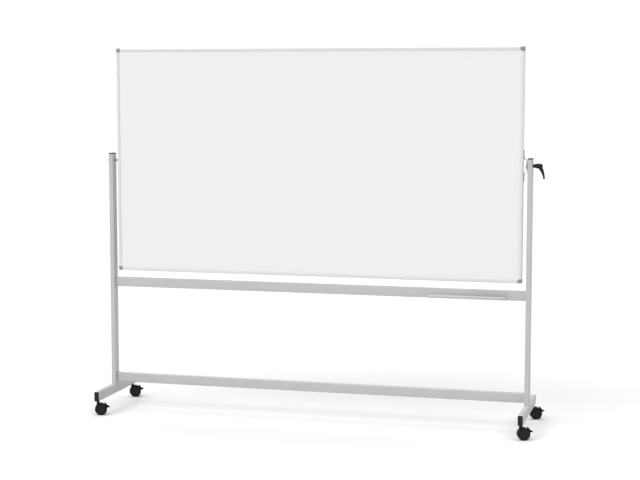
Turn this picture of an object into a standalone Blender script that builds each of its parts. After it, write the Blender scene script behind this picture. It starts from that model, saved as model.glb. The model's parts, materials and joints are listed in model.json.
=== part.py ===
"""A revolving whiteboard on a rolling stand, modelled as its separate pieces.

Metres, +Z up. The origin is on the floor, midway between the two columns; +X is to the right of
somebody who faces the board, and -Y is towards them. The board turns about a level axis that
passes through both columns, and a clamping lever on the right column holds it at any angle.
"""

import math

import bmesh
import bpy
from mathutils import Matrix, Vector

# ---------------------------------------------------------------- driving dimensions, in metres

GAP = 0.0003                    # between faces that touch on the real object
SPAN = 0.010                    # how far a cutter runs past the face that it cuts

BOARD_WIDTH = 2.200
BOARD_HEIGHT = 1.200
BOARD_DEPTH = 0.030
BOARD_SIDE_GAP = 0.022          # board edge to column
BOARD_SWING_CLEARANCE = 0.0398  # the board's corner, at its lowest, to the upper crossbar
PIVOT_HEIGHT = 1.3575           # the board's turning axis above the floor

RAIL_FACE = 0.016               # width of the rail seen from the front
RAIL_WEB = 0.003                # the rail's outer wall
RAIL_LIP = 0.002                # how far the rail's lips stand proud of the sheets
RAIL_ROUNDING = 0.0045
CORNER_SIZE = 0.022
CORNER_CHAMFER = 0.007
SHEET = 0.0005
CORE_CELL = 0.220               # largest cell of the core's lattice
CORE_RIB = 0.003                # half of a rib's thickness

TUBE_WIDE = 0.050
TUBE_THIN = 0.025
TUBE_WALL = 0.0015
TUBE_CORNER = 0.003
END_PLATE = 0.004               # welded into a tube's end, and tapped for its bolt
COLUMN_ABOVE_PIVOT = 0.033
LOWER_BAR_GAP = 0.012           # foot to lower crossbar
FOOT_LENGTH = 0.530
CAP_RIM = 0.005
CAP_PLUG = 0.008

TRAY_LENGTH = 0.400
TRAY_FROM_COLUMN = 0.100        # the tray's right end to the right column
TRAY_DEPTH = 0.039
TRAY_SHEET = 0.0018
TRAY_LIP = 0.017
TRAY_LIP_RETURN = 0.009         # the rolled lip's top, back over the channel
TRAY_LIP_ROLL = 0.0082          # outer radius of the lip's two bends
TRAY_HOOK = 0.008
TRAY_FLOOR_RISE = 0.004         # the tray's floor above the crossbar's underside
TRAY_BEND = 0.0006              # inner radius of the bends at the back

BOLT_RADIUS = 0.004
BOLT_HEAD_RADIUS = 0.007
BOLT_HEAD = 0.002
HEAD_FLAT = 0.6                 # a button head's flat top, as a share of its radius
HEAD_SHOULDER = (0.9, 0.65)     # where its side bends, as shares of its radius and height
SOCKET_CORNER = 0.42            # the hex socket's corners, as a share of the head's radius
SOCKET_FLOOR = 0.45             # the socket's floor, as a share of the head's height
CROSSBAR_BOLT_INSIDE = 0.016    # shank inside the crossbar

PIVOT_RADIUS = 0.004
PIVOT_HEAD_RADIUS = 0.0075
PIVOT_HEAD = 0.013
INSERT_FLANGE_RADIUS = 0.007
INSERT_BARREL_RADIUS = 0.006
INSERT_DEPTH = 0.014            # barrel inside the board

BRACKET_HALF = 0.078
BRACKET_FLANGE = 0.040
BRACKET_PLATEAU_HALF = 0.024
BRACKET_SHEET = 0.0025
BRACKET_WIDTH = 0.022
SCREW_INSET = 0.005             # outer screws to the bracket's ends
SCREW_PITCH = 0.030
SCREW_RADIUS = 0.002
SCREW_HEAD_RADIUS = 0.0042
SCREW_HEAD = 0.0026

SPINDLE_RADIUS = 0.005
SPINDLE_HEAD_RADIUS = 0.0165
SPINDLE_HEAD = 0.0062
SPINDLE_OUTSIDE = 0.024         # thread beyond the column, inside the lever
WASHER_RADIUS = 0.016
WASHER = 0.0012                 # friction washer's thickness

LEVER_COLLAR_RADIUS = 0.0090
LEVER_COLLAR = 0.012
LEVER_HUB_RADIUS = 0.0122
LEVER_HUB = 0.050
LEVER_STEP = 0.0015             # length of the slope from the collar to the hub
LEVER_CROWN = (0.0095, 0.0070)  # chamfer round the hub's end: inwards, and along the hub
LEVER_ARM = (                   # the arm's stations: out from the column, up, and radius
    (0.0300, 0.0000, 0.0112), (0.0390, -0.0110, 0.0103), (0.0440, -0.0205, 0.0090),
    (0.0485, -0.0310, 0.0076), (0.0525, -0.0420, 0.0062), (0.0552, -0.0530, 0.0049),
    (0.0555, -0.0600, 0.0044),
)
LEVER_TIP = (0.0555, -0.0622)   # centre of the ball at the arm's end
LEVER_TIP_RADIUS = 0.0052

WHEEL_RADIUS = 0.031
WHEEL_WIDTH = 0.012
WHEEL_SPACING = 0.0115          # between the two wheels
WHEEL_TREAD = 0.005             # height of the tread ring on the wheel's side
WHEEL_GROOVE = 0.001            # step between the tread ring and the hub's face
WHEEL_EDGE = 0.0015             # rounding of the tread's edges
AXLE_RADIUS = 0.004
AXLE_GRIP = 0.009               # axle inside each wheel
CASTER_TRAIL = 0.016
SOCKET_TO_CAP = 0.0007          # the stem's socket to the foot cap's plug
CASTER_TURN = math.radians(22)
HOOD_CLEARANCE = 0.0007
HOOD_SHELL = 0.0016
HOOD_LOW = 0.019
HOOD_NOTCH = 0.0115             # from the axle to the cut where the brake lever begins
BOSS_RADIUS = 0.0085
BOSS_HEIGHT = 0.0122
STEM_RADIUS = 0.0055
STEM_LENGTH = 0.030
SOCKET_RADIUS = 0.0085
SWIVEL_GAP = 0.0005

BRAKE_PIVOT = (0.007, 0.020)    # from the axle, along the trail and up
BRAKE_HALF_WIDTH = 0.011
BRAKE_EAR_HALF = 0.003
BRAKE_PIN_RADIUS = 0.0018
BRAKE_CLEARANCE = 0.0033        # crescent to the wheel's tread
BRAKE_ARC = range(13, 62, 8)    # the crescent's inner arc, in degrees up from the trail
BRAKE_HORN = (0.0100, 60)       # these four are beyond the tread, at degrees up from the trail
BRAKE_HORN_BACK = (0.0092, 55)
BRAKE_SHOULDER = (0.0080, 29)
BRAKE_ROOT = (0.0060, 15)
BRAKE_TAB = ((0.0145, 0.0140), (0.0150, 0.0116))    # its end: beyond the tread, and above the axle
BRAKE_EYE = 0.0036              # radius of the ear round the pin
BRAKE_EAR_ARC = (58, 45, 30, 15)
BRAKE_EAR_IN = 0.0015           # how far the ear reaches into the crescent
BRAKE_EAR_FOOT = (-0.004, 10)   # the ear's lowest corner, from the crescent's inner arc
BRAKE_SEAT = 0.0048             # room round the pin in the hood
BRAKE_SEAT_TOP = 0.0068         # and above it, where the ear rises as the lever is pressed
BRAKE_NECK = 0.002              # the eye's straight part beyond the hood's notch

# ---------------------------------------------------------------- places worked out from them

HALF_WIDTH = BOARD_WIDTH / 2
HALF_HEIGHT = BOARD_HEIGHT / 2
HALF_DEPTH = BOARD_DEPTH / 2
COLUMN_INNER = HALF_WIDTH + BOARD_SIDE_GAP
COLUMN_X = COLUMN_INNER + TUBE_THIN / 2
COLUMN_OUTER = COLUMN_INNER + TUBE_THIN

HOOD_RADIUS = WHEEL_RADIUS + HOOD_CLEARANCE + HOOD_SHELL
FOOT_BOTTOM = WHEEL_RADIUS + HOOD_RADIUS + BOSS_HEIGHT
FOOT_TOP = FOOT_BOTTOM + TUBE_WIDE
FOOT_Z = FOOT_BOTTOM + TUBE_WIDE / 2
LOWER_BAR_Z = FOOT_TOP + LOWER_BAR_GAP + TUBE_WIDE / 2
SWING_RADIUS = math.hypot(HALF_HEIGHT, HALF_DEPTH)
UPPER_BAR_TOP = PIVOT_HEIGHT - SWING_RADIUS - BOARD_SWING_CLEARANCE
UPPER_BAR_Z = UPPER_BAR_TOP - TUBE_WIDE / 2
COLUMN_BOTTOM = FOOT_TOP + GAP
COLUMN_TOP = PIVOT_HEIGHT + COLUMN_ABOVE_PIVOT
CASTER_Y = FOOT_LENGTH / 2 - CAP_PLUG - SOCKET_TO_CAP - SOCKET_RADIUS

SLOT_HALF = HALF_DEPTH - RAIL_LIP
SHEET_FACE = SLOT_HALF - GAP
CORE_HALF = SHEET_FACE - SHEET - GAP
INNER_WIDTH = BOARD_WIDTH - 2 * (RAIL_WEB + GAP)
INNER_HEIGHT = BOARD_HEIGHT - 2 * (RAIL_WEB + GAP)

BRACKET_BACK = HALF_WIDTH + GAP
BRACKET_TOP = COLUMN_INNER - GAP - WASHER - GAP
WEB_HALF = WHEEL_SPACING / 2 - SWIVEL_GAP
WHEEL_OUTER = WHEEL_SPACING / 2 + WHEEL_WIDTH

SIDES = {"left": -1, "right": 1}
ENDS = {"front": -1, "rear": 1}

# ---------------------------------------------------------------- scene, materials, basic shapes


def clear_scene():
    for old in list(bpy.data.objects):
        bpy.data.objects.remove(old, do_unlink=True)


clear_scene()
PARTS = bpy.data.collections.new("rolling_whiteboard")
CUTTERS = bpy.data.collections.new("cutters")
bpy.context.scene.collection.children.link(PARTS)
bpy.context.scene.collection.children.link(CUTTERS)


def finish_material(name, color, roughness, metallic):
    """A plain finish: colour, roughness and metallic value."""
    material = bpy.data.materials.new(name)
    material.use_nodes = True
    shader = material.node_tree.nodes["Principled BSDF"]
    shader.inputs["Base Color"].default_value = (*color, 1.0)
    shader.inputs["Roughness"].default_value = roughness
    shader.inputs["Metallic"].default_value = metallic
    return material


SILVER_PAINT = finish_material("silver_paint", (0.56, 0.56, 0.55), 0.45, 0.0)
ALUMINIUM = finish_material("satin_aluminium", (0.80, 0.80, 0.80), 0.35, 0.9)
ENAMEL = finish_material("white_enamel", (0.88, 0.88, 0.88), 0.15, 0.0)
CORE = finish_material("core_board", (0.55, 0.42, 0.28), 0.9, 0.0)
GREY_PLASTIC = finish_material("grey_plastic", (0.22, 0.23, 0.23), 0.5, 0.0)
BLACK_PLASTIC = finish_material("black_plastic", (0.02, 0.02, 0.02), 0.45, 0.0)
STEEL = finish_material("zinc_plated_steel", (0.45, 0.45, 0.45), 0.4, 0.9)


def new_object(name, bm, material, collection):
    """An object that holds the bmesh, with faces pointing out."""
    bmesh.ops.recalc_face_normals(bm, faces=bm.faces)
    mesh = bpy.data.meshes.new(name)
    bm.to_mesh(mesh)
    bm.free()
    thing = bpy.data.objects.new(name, mesh)
    collection.objects.link(thing)
    if material:
        mesh.materials.append(material)
    return thing


def piece(name, bm, material, parent=None):
    return at(new_object(name, bm, material, PARTS), parent)


def at(thing, parent=None, location=(0, 0, 0), rotation=(0, 0, 0)):
    thing.parent = parent
    thing.location = location
    thing.rotation_euler = rotation
    return thing


def axis_empty(name, location, rotation=(0, 0, 0)):
    """An empty on a joint's axis, which carries the pieces that turn together."""
    empty = bpy.data.objects.new(name, None)
    PARTS.objects.link(empty)
    return at(empty, None, location, rotation)


def tool(target, bm):
    """A cutter or an added volume, in the coordinates of the piece that it works on."""
    helper = new_object(target.name + "_tool", bm, None, CUTTERS)
    return hide_tool(helper, target)


def hide_tool(helper, target):
    helper.parent = target
    helper.hide_render = True
    helper.display_type = "WIRE"
    return helper


def boolean(target, helper, operation):
    step = target.modifiers.new(operation.lower(), "BOOLEAN")
    step.operation = operation
    step.solver = "EXACT"
    step.object = helper


def cut(target, bm):
    boolean(target, tool(target, bm), "DIFFERENCE")


def add(target, bm):
    boolean(target, tool(target, bm), "UNION")


def smooth(thing, degrees=35):
    thing.data.shade_smooth()
    thing.data.set_sharp_from_angle(angle=math.radians(degrees))
    return thing


def box(low, high):
    """A box between two corners."""
    bm = bmesh.new()
    bmesh.ops.create_cube(bm, size=1.0)
    low, high = Vector(low), Vector(high)
    bmesh.ops.scale(bm, vec=high - low, verts=bm.verts)
    bmesh.ops.translate(bm, vec=(low + high) / 2, verts=bm.verts)
    return bm


def rod(radius, start, end, segments=20):
    """A cylinder between two points."""
    bm = bmesh.new()
    run = Vector(end) - Vector(start)
    bmesh.ops.create_cone(
        bm, cap_ends=True, segments=segments, radius1=radius, radius2=radius, depth=run.length
    )
    turn = run.to_track_quat("Z", "Y").to_matrix().to_4x4()
    middle = (Vector(start) + Vector(end)) / 2
    bmesh.ops.transform(bm, matrix=Matrix.Translation(middle) @ turn, verts=bm.verts)
    return bm


def bevel(bm, edges, width, segments):
    bmesh.ops.bevel(
        bm, geom=edges, offset=width, offset_type="OFFSET", segments=segments,
        profile=0.5, affect="EDGES", material=-1,
    )


def along(edge, axis):
    run = (edge.verts[0].co - edge.verts[1].co).normalized()
    return abs(run[axis]) > 0.99


def bar(low, high, axis, corner, segments=2):
    """A box whose four edges along one axis are rounded."""
    bm = box(low, high)
    bevel(bm, [edge for edge in bm.edges if along(edge, axis)], corner, segments)
    return bm


def turned(name, profile, steps, material, parent=None):
    """A profile of (radius, height) pairs, from the top down the outer side, turned about Z."""
    bm = bmesh.new()
    points = [bm.verts.new((radius, 0, height)) for radius, height in profile]
    for upper, lower in zip(points, points[1:]):
        bm.edges.new((upper, lower))
    mesh = bpy.data.meshes.new(name)
    bm.to_mesh(mesh)
    bm.free()
    thing = bpy.data.objects.new(name, mesh)
    PARTS.objects.link(thing)
    mesh.materials.append(material)
    spin = thing.modifiers.new("spin", "SCREW")
    spin.axis = "Z"
    spin.steps = steps
    spin.render_steps = steps
    spin.use_merge_vertices = True
    spin.merge_threshold = 0.00005
    return at(thing, parent)


def folded_sheet(name, points, width_axis, width, thickness, material, bends, parent=None):
    """A strip along a line of points, given a thickness on the line's right-hand side."""
    bm = bmesh.new()
    half = [0.0, 0.0, 0.0]
    half[width_axis] = width / 2
    line = [bm.verts.new(Vector(point) - Vector(half)) for point in points]
    edges = [bm.edges.new(pair) for pair in zip(line, line[1:])]
    grown = bmesh.ops.extrude_edge_only(bm, edges=edges)
    far = [item for item in grown["geom"] if isinstance(item, bmesh.types.BMVert)]
    shift = [0.0, 0.0, 0.0]
    shift[width_axis] = width
    bmesh.ops.translate(bm, vec=shift, verts=far)
    bm.normal_update()
    start, stop = Vector(points[0]), Vector(points[1])
    middle = (start + stop) / 2
    first = min(bm.faces, key=lambda face: (face.calc_center_median() - middle).length)
    if first.normal.dot((stop - start).cross(Vector(shift))) < 0:
        bmesh.ops.reverse_faces(bm, faces=bm.faces)
    for index, radius, segments in bends:
        corner = Vector(points[index])
        across = [e for e in bm.edges if along(e, width_axis) and lies_on(e, corner, width_axis)]
        bevel(bm, across, radius, segments)
    mesh = bpy.data.meshes.new(name)
    bm.to_mesh(mesh)
    bm.free()
    thing = bpy.data.objects.new(name, mesh)
    PARTS.objects.link(thing)
    mesh.materials.append(material)
    wall = thing.modifiers.new("wall", "SOLIDIFY")
    wall.thickness = thickness
    wall.offset = 1.0
    wall.use_even_offset = True
    return at(thing, parent)


def lies_on(edge, corner, width_axis):
    offset = edge.verts[0].co - corner
    offset[width_axis] = 0
    return offset.length < 1e-5


def flat_outline(name, points, half_thickness):
    """A filled outline in its own XY plane, made a mesh, with its thickness along Z."""
    curve = bpy.data.curves.new(name, "CURVE")
    curve.dimensions = "2D"
    curve.fill_mode = "BOTH"
    curve.extrude = half_thickness
    spline = curve.splines.new("POLY")
    spline.points.add(len(points) - 1)
    for slot, (x, y) in zip(spline.points, points):
        slot.co = (x, y, 0, 1)
    spline.use_cyclic_u = True
    return curve_as_mesh(curve)


def curve_as_mesh(curve):
    """The mesh of a curve, its caps welded."""
    holder = bpy.data.objects.new(curve.name + "_curve", curve)
    CUTTERS.objects.link(holder)
    graph = bpy.context.evaluated_depsgraph_get()
    mesh = bpy.data.meshes.new_from_object(holder.evaluated_get(graph))
    bpy.data.objects.remove(holder)
    bm = bmesh.new()
    bm.from_mesh(mesh)
    bpy.data.meshes.remove(mesh)
    bmesh.ops.remove_doubles(bm, verts=bm.verts, dist=0.00001)
    return bm


# ---------------------------------------------------------------- stand


def tube(name, low, high, axis, plates=(False, False)):
    """A rectangular tube along an axis. An end with a plate is closed by END_PLATE."""
    outer = piece(name, bar(low, high, axis, TUBE_CORNER), SILVER_PAINT)
    inside_low, inside_high = list(low), list(high)
    for other in range(3):
        inside_low[other] += TUBE_WALL
        inside_high[other] -= TUBE_WALL
    inside_low[axis] = low[axis] + END_PLATE if plates[0] else low[axis] - SPAN
    inside_high[axis] = high[axis] - END_PLATE if plates[1] else high[axis] + SPAN
    cut(outer, bar(inside_low, inside_high, axis, TUBE_CORNER - TUBE_WALL))
    return outer


def make_column(side, sign):
    """An upright: open at the top, with a tapped plate at the bottom and holes across it."""
    x_half, y_half = TUBE_THIN / 2, TUBE_WIDE / 2
    centre = sign * COLUMN_X
    low = (centre - x_half, -y_half, COLUMN_BOTTOM)
    high = (centre + x_half, y_half, COLUMN_TOP)
    column = tube(f"{side}_column", low, high, 2, (True, False))
    pivot = PIVOT_RADIUS if side == "left" else SPINDLE_RADIUS
    holes = [(PIVOT_HEIGHT, pivot), (UPPER_BAR_Z, BOLT_RADIUS), (LOWER_BAR_Z, BOLT_RADIUS)]
    for height, radius in holes:
        ends = [(centre - SPAN - x_half, 0, height), (centre + SPAN + x_half, 0, height)]
        cut(column, rod(radius + GAP, *ends))
    below = (centre, 0, COLUMN_BOTTOM - SPAN)
    above = (centre, 0, COLUMN_BOTTOM + SPAN)
    cut(column, rod(BOLT_RADIUS + GAP, below, above))


def make_crossbar(name, height):
    """A crossbar between the columns, with a tapped plate in each end."""
    reach = COLUMN_INNER - GAP
    low = (-reach, -TUBE_THIN / 2, height - TUBE_WIDE / 2)
    high = (reach, TUBE_THIN / 2, height + TUBE_WIDE / 2)
    crossbar = tube(name, low, high, 0, (True, True))
    for sign in (-1, 1):
        ends = [(sign * (reach - SPAN), 0, height), (sign * (reach + SPAN), 0, height)]
        cut(crossbar, rod(BOLT_RADIUS + GAP, *ends))


def make_foot(side, sign):
    """A foot: an open tube on edge, with a welded socket for each caster's stem."""
    centre = sign * COLUMN_X
    low = (centre - TUBE_THIN / 2, -FOOT_LENGTH / 2, FOOT_BOTTOM)
    high = (centre + TUBE_THIN / 2, FOOT_LENGTH / 2, FOOT_TOP)
    foot = tube(f"{side}_foot", low, high, 1)
    for end in ENDS.values():
        y = end * CASTER_Y
        base = FOOT_BOTTOM + TUBE_WALL / 2
        add(foot, rod(SOCKET_RADIUS, (centre, y, base), (centre, y, FOOT_BOTTOM + STEM_LENGTH)))
        start, stop = (centre, y, FOOT_BOTTOM - SPAN), (centre, y, FOOT_TOP - SPAN)
        cut(foot, rod(STEM_RADIUS + GAP, start, stop))
    ends = [(centre, 0, FOOT_BOTTOM - SPAN), (centre, 0, FOOT_TOP + SPAN)]
    cut(foot, rod(BOLT_RADIUS + GAP, *ends))


def make_cap(name, location, rotation):
    """A tube plug: a rim as large as the tube and a block that fits inside it."""
    half = Vector((TUBE_THIN / 2, TUBE_WIDE / 2, 0))
    rim = bar((-half.x, -half.y, GAP), (half.x, half.y, CAP_RIM), 2, TUBE_CORNER)
    top = [e for e in rim.edges if all(abs(v.co.z - CAP_RIM) < 1e-6 for v in e.verts)]
    bevel(rim, top, TUBE_WALL, 2)
    cap = piece(name, rim, BLACK_PLASTIC)
    inside = half - Vector((TUBE_WALL + GAP, TUBE_WALL + GAP, 0))
    low = (-inside.x, -inside.y, -CAP_PLUG)
    high = (inside.x, inside.y, CAP_RIM / 2)
    add(cap, bar(low, high, 2, TUBE_CORNER - TUBE_WALL))
    at(cap, None, location, rotation)


def make_caps():
    quarter = math.pi / 2
    for side, sign in SIDES.items():
        make_cap(f"{side}_column_cap", (sign * COLUMN_X, 0, COLUMN_TOP), (0, 0, 0))
        for end, way in ENDS.items():
            place = (sign * COLUMN_X, way * FOOT_LENGTH / 2, FOOT_Z)
            make_cap(f"{side}_foot_{end}_cap", place, (-way * quarter, 0, 0))


def socket_bolt(name, head_radius, head, shank_radius, shank, material, parent=None):
    """A button-head bolt along Z: the head above 0, the shank below, a hex socket in the head."""
    profile = [
        (0, head), (head_radius * HEAD_FLAT, head),
        (head_radius * HEAD_SHOULDER[0], head * HEAD_SHOULDER[1]),
        (head_radius, GAP), (shank_radius, GAP), (shank_radius, -shank), (0, -shank),
    ]
    bolt = turned(name, profile, 16, material, parent)
    start, stop = (0, 0, head * SOCKET_FLOOR), (0, 0, head + SPAN)
    cut(bolt, rod(head_radius * SOCKET_CORNER, start, stop, 6))
    return bolt


def make_crossbar_bolts():
    """Each crossbar end is held by one bolt through its column."""
    shank = TUBE_THIN + GAP + CROSSBAR_BOLT_INSIDE
    for level, height in (("upper", UPPER_BAR_Z), ("lower", LOWER_BAR_Z)):
        for side, sign in SIDES.items():
            name = f"{level}_{side}_crossbar_bolt"
            bolt = socket_bolt(name, BOLT_HEAD_RADIUS, BOLT_HEAD, BOLT_RADIUS, shank, STEEL)
            at(bolt, None, (sign * COLUMN_OUTER, 0, height), (0, sign * math.pi / 2, 0))


def make_foot_bolts():
    """A long bolt goes up through each foot into the plate in its column."""
    shank = TUBE_WIDE + GAP + END_PLATE + BOLT_RADIUS
    for side, sign in SIDES.items():
        name = f"{side}_foot_bolt"
        bolt = socket_bolt(name, BOLT_HEAD_RADIUS, BOLT_HEAD, BOLT_RADIUS, shank, STEEL)
        at(bolt, None, (sign * COLUMN_X, 0, FOOT_BOTTOM), (math.pi, 0, 0))


def make_pen_tray():
    """A channel that hooks over the upper crossbar, with its front lip rolled inwards."""
    front = -TUBE_THIN / 2 - GAP
    top = UPPER_BAR_TOP + GAP
    floor = UPPER_BAR_TOP - TUBE_WIDE + TRAY_FLOOR_RISE
    lip = front - TRAY_DEPTH
    x = COLUMN_INNER - TRAY_FROM_COLUMN - TRAY_LENGTH / 2
    points = [
        (x, front + TRAY_HOOK, top), (x, front, top), (x, front, floor),
        (x, lip, floor), (x, lip, floor + TRAY_LIP),
        (x, lip + TRAY_LIP_RETURN, floor + TRAY_LIP),
    ]
    bends = [
        (1, TRAY_BEND, 1), (2, TRAY_SHEET + TRAY_BEND, 2),
        (3, TRAY_LIP_ROLL, 4), (4, TRAY_LIP_ROLL, 4),
    ]
    folded_sheet("pen_tray", points, 0, TRAY_LENGTH, TRAY_SHEET, SILVER_PAINT, bends)


# ---------------------------------------------------------------- board


def make_rail(name, outward_turn, half_length, distance, parent):
    """A C-shaped rail. Its outer face looks along +X before it is turned about Y."""
    low = (-RAIL_FACE, -HALF_DEPTH, -half_length)
    bm = box(low, (0, HALF_DEPTH, half_length))
    outer = [e for e in bm.edges if along(e, 2) and e.verts[0].co.x > -RAIL_FACE / 2]
    bevel(bm, outer, RAIL_ROUNDING, 3)
    rail = piece(name, bm, ALUMINIUM, parent)
    slot_low = (-RAIL_FACE - SPAN, -SLOT_HALF, -half_length - SPAN)
    cut(rail, box(slot_low, (-RAIL_WEB, SLOT_HALF, half_length + SPAN)))
    outward = Vector((math.cos(outward_turn), 0, -math.sin(outward_turn)))
    return at(rail, parent, outward * distance, (0, outward_turn, 0))


def make_rails(board):
    upright = HALF_HEIGHT - CORNER_SIZE - GAP
    level = HALF_WIDTH - CORNER_SIZE - GAP
    make_rail("frame_top_rail", -math.pi / 2, level, HALF_HEIGHT, board)
    make_rail("frame_bottom_rail", math.pi / 2, level, HALF_HEIGHT, board)
    right = make_rail("frame_right_rail", 0, upright, HALF_WIDTH, board)
    left = make_rail("frame_left_rail", math.pi, upright, HALF_WIDTH, board)
    hole = INSERT_BARREL_RADIUS + GAP
    cut(left, rod(hole, (-SPAN, 0, 0), (SPAN, 0, 0)))
    for height in screw_heights():
        cut(right, rod(SCREW_RADIUS + GAP, (-SPAN, 0, height), (SPAN, 0, height), 16))


def make_corner(name, turn, x, z, parent):
    """A plastic corner, made for the upper right and turned about Y for the others."""
    bm = box((-CORNER_SIZE, -HALF_DEPTH, -CORNER_SIZE), (0, HALF_DEPTH, 0))
    outer, inner = [], []
    for edge in bm.edges:
        middle = (edge.verts[0].co + edge.verts[1].co) / 2
        if along(edge, 1) and middle.x < -HALF_DEPTH / 2 and middle.z < -HALF_DEPTH / 2:
            inner.append(edge)
        elif middle.x > -1e-6 or middle.z > -1e-6:
            touches = abs(middle.y) > HALF_DEPTH - 1e-6 or middle.x + middle.z > -1e-6
            outer += [edge] if touches else []
    bevel(bm, inner, CORNER_CHAMFER, 1)
    bevel(bm, [edge for edge in outer if edge.is_valid], RAIL_ROUNDING, 3)
    corner = piece(name, bm, GREY_PLASTIC, parent)
    low = (-CORNER_SIZE - SPAN, -SLOT_HALF, -CORNER_SIZE - SPAN)
    cut(corner, box(low, (-RAIL_WEB, SLOT_HALF, -RAIL_WEB)))
    at(corner, parent, (x, 0, z), (0, turn, 0))


def make_corners(board):
    quarter = math.pi / 2
    make_corner("frame_top_right_corner", 0, HALF_WIDTH, HALF_HEIGHT, board)
    make_corner("frame_bottom_right_corner", quarter, HALF_WIDTH, -HALF_HEIGHT, board)
    make_corner("frame_bottom_left_corner", 2 * quarter, -HALF_WIDTH, -HALF_HEIGHT, board)
    make_corner("frame_top_left_corner", -quarter, -HALF_WIDTH, HALF_HEIGHT, board)


def make_sheets(board):
    """The enamelled writing sheets, front and rear."""
    for name, way in (("front_writing_sheet", -1), ("rear_writing_sheet", 1)):
        faces = sorted((way * SHEET_FACE, way * (SHEET_FACE - SHEET)))
        low = (-INNER_WIDTH / 2, faces[0], -INNER_HEIGHT / 2)
        piece(name, box(low, (INNER_WIDTH / 2, faces[1], INNER_HEIGHT / 2)), ENAMEL, board)


def make_core(board):
    """The light lattice between the sheets. Its rows are odd, so no rib is at the pivot."""
    columns = math.ceil(INNER_WIDTH / CORE_CELL)
    rows = 2 * math.ceil((INNER_HEIGHT / CORE_CELL - 1) / 2) + 1
    bm = bmesh.new()
    bmesh.ops.create_grid(bm, x_segments=columns, y_segments=rows, size=0.5)
    bmesh.ops.scale(bm, vec=(INNER_WIDTH, INNER_HEIGHT, 1), verts=bm.verts)
    cells = list(bm.faces)
    bmesh.ops.inset_individual(bm, faces=cells, thickness=CORE_RIB)
    bmesh.ops.delete(bm, geom=cells, context="FACES")
    core = piece("board_core", bm, CORE, board)
    core.rotation_euler = (math.pi / 2, 0, 0)
    wall = core.modifiers.new("wall", "SOLIDIFY")
    wall.thickness = 2 * CORE_HALF
    wall.offset = 0.0
    edge = -INNER_WIDTH / 2
    cut(core, rod(INSERT_BARREL_RADIUS + GAP, (edge - SPAN, 0, 0), (edge + SPAN, 0, 0)))


def screw_heights():
    """Heights of the bracket's screws above the turning axis."""
    outer = BRACKET_HALF - SCREW_INSET
    return [outer, outer - SCREW_PITCH, SCREW_PITCH - outer, -outer]


def make_clamp_bracket(board):
    """A folded hat section: two flanges on the rail and a raised middle for the spindle."""
    raised = BRACKET_TOP - BRACKET_SHEET
    shoulder = BRACKET_HALF - BRACKET_FLANGE
    points = [
        (BRACKET_BACK, 0, BRACKET_HALF), (BRACKET_BACK, 0, shoulder),
        (raised, 0, BRACKET_PLATEAU_HALF), (raised, 0, -BRACKET_PLATEAU_HALF),
        (BRACKET_BACK, 0, -shoulder), (BRACKET_BACK, 0, -BRACKET_HALF),
    ]
    bracket = folded_sheet(
        "clamp_bracket", points, 1, BRACKET_WIDTH, BRACKET_SHEET, STEEL, [], board
    )
    cut(bracket, rod(SPINDLE_RADIUS + GAP, (raised - SPAN, 0, 0), (raised + SPAN, 0, 0)))
    for height in screw_heights():
        start, stop = (BRACKET_BACK - SPAN, 0, height), (BRACKET_BACK + SPAN, 0, height)
        cut(bracket, rod(SCREW_RADIUS + GAP, start, stop, 16))


def make_bracket_screws(board):
    length = GAP + BRACKET_SHEET + RAIL_WEB
    face = BRACKET_BACK + BRACKET_SHEET
    for number, height in enumerate(screw_heights(), start=1):
        name = f"bracket_screw_{number}"
        sizes = (SCREW_HEAD_RADIUS, SCREW_HEAD, SCREW_RADIUS, length)
        screw = socket_bolt(name, *sizes, STEEL, board)
        at(screw, board, (face, 0, height), (0, math.pi / 2, 0))


def make_spindle(board):
    """The bolt that the board hangs on at the right, with its head inside the bracket."""
    inner_face = BRACKET_TOP - BRACKET_SHEET
    length = COLUMN_OUTER + SPINDLE_OUTSIDE - inner_face
    profile = [
        (0, SPINDLE_HEAD), (SPINDLE_HEAD_RADIUS, SPINDLE_HEAD), (SPINDLE_HEAD_RADIUS, GAP),
        (SPINDLE_RADIUS, GAP), (SPINDLE_RADIUS, -length), (0, -length),
    ]
    spindle = turned("clamp_spindle", profile, 24, STEEL, board)
    at(spindle, board, (inner_face, 0, 0), (0, -math.pi / 2, 0))


def ring(name, outer, inner, thickness, material, parent):
    """A flat ring that lies on Z = 0."""
    washer = piece(name, rod(outer, (0, 0, 0), (0, 0, thickness), 24), material, parent)
    cut(washer, rod(inner, (0, 0, -SPAN), (0, 0, thickness + SPAN)))
    return washer


def make_friction_washer(board):
    bore = SPINDLE_RADIUS + GAP
    washer = ring("friction_washer", WASHER_RADIUS, bore, WASHER, BLACK_PLASTIC, board)
    at(washer, board, (BRACKET_TOP + GAP, 0, 0), (0, math.pi / 2, 0))


def make_left_pivot(board):
    """The insert fixed in the left rail, and the bolt that runs through the column into it."""
    flange = BOARD_SIDE_GAP - 2 * GAP
    bore = PIVOT_RADIUS + GAP
    insert = ring("pivot_insert", INSERT_FLANGE_RADIUS, bore, flange, STEEL, board)
    add(insert, rod(INSERT_BARREL_RADIUS, (0, 0, -INSERT_DEPTH), (0, 0, flange / 2)))
    cut(insert, rod(bore, (0, 0, -INSERT_DEPTH - SPAN), (0, 0, flange + SPAN)))
    at(insert, board, (-HALF_WIDTH - GAP, 0, 0), (0, -math.pi / 2, 0))
    shank = COLUMN_OUTER - HALF_WIDTH + INSERT_DEPTH - GAP
    sizes = (PIVOT_HEAD_RADIUS, PIVOT_HEAD, PIVOT_RADIUS, shank)
    bolt = socket_bolt("pivot_bolt", *sizes, STEEL, board)
    at(bolt, board, (-COLUMN_OUTER, 0, 0), (0, -math.pi / 2, 0))


# ---------------------------------------------------------------- clamping lever


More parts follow.
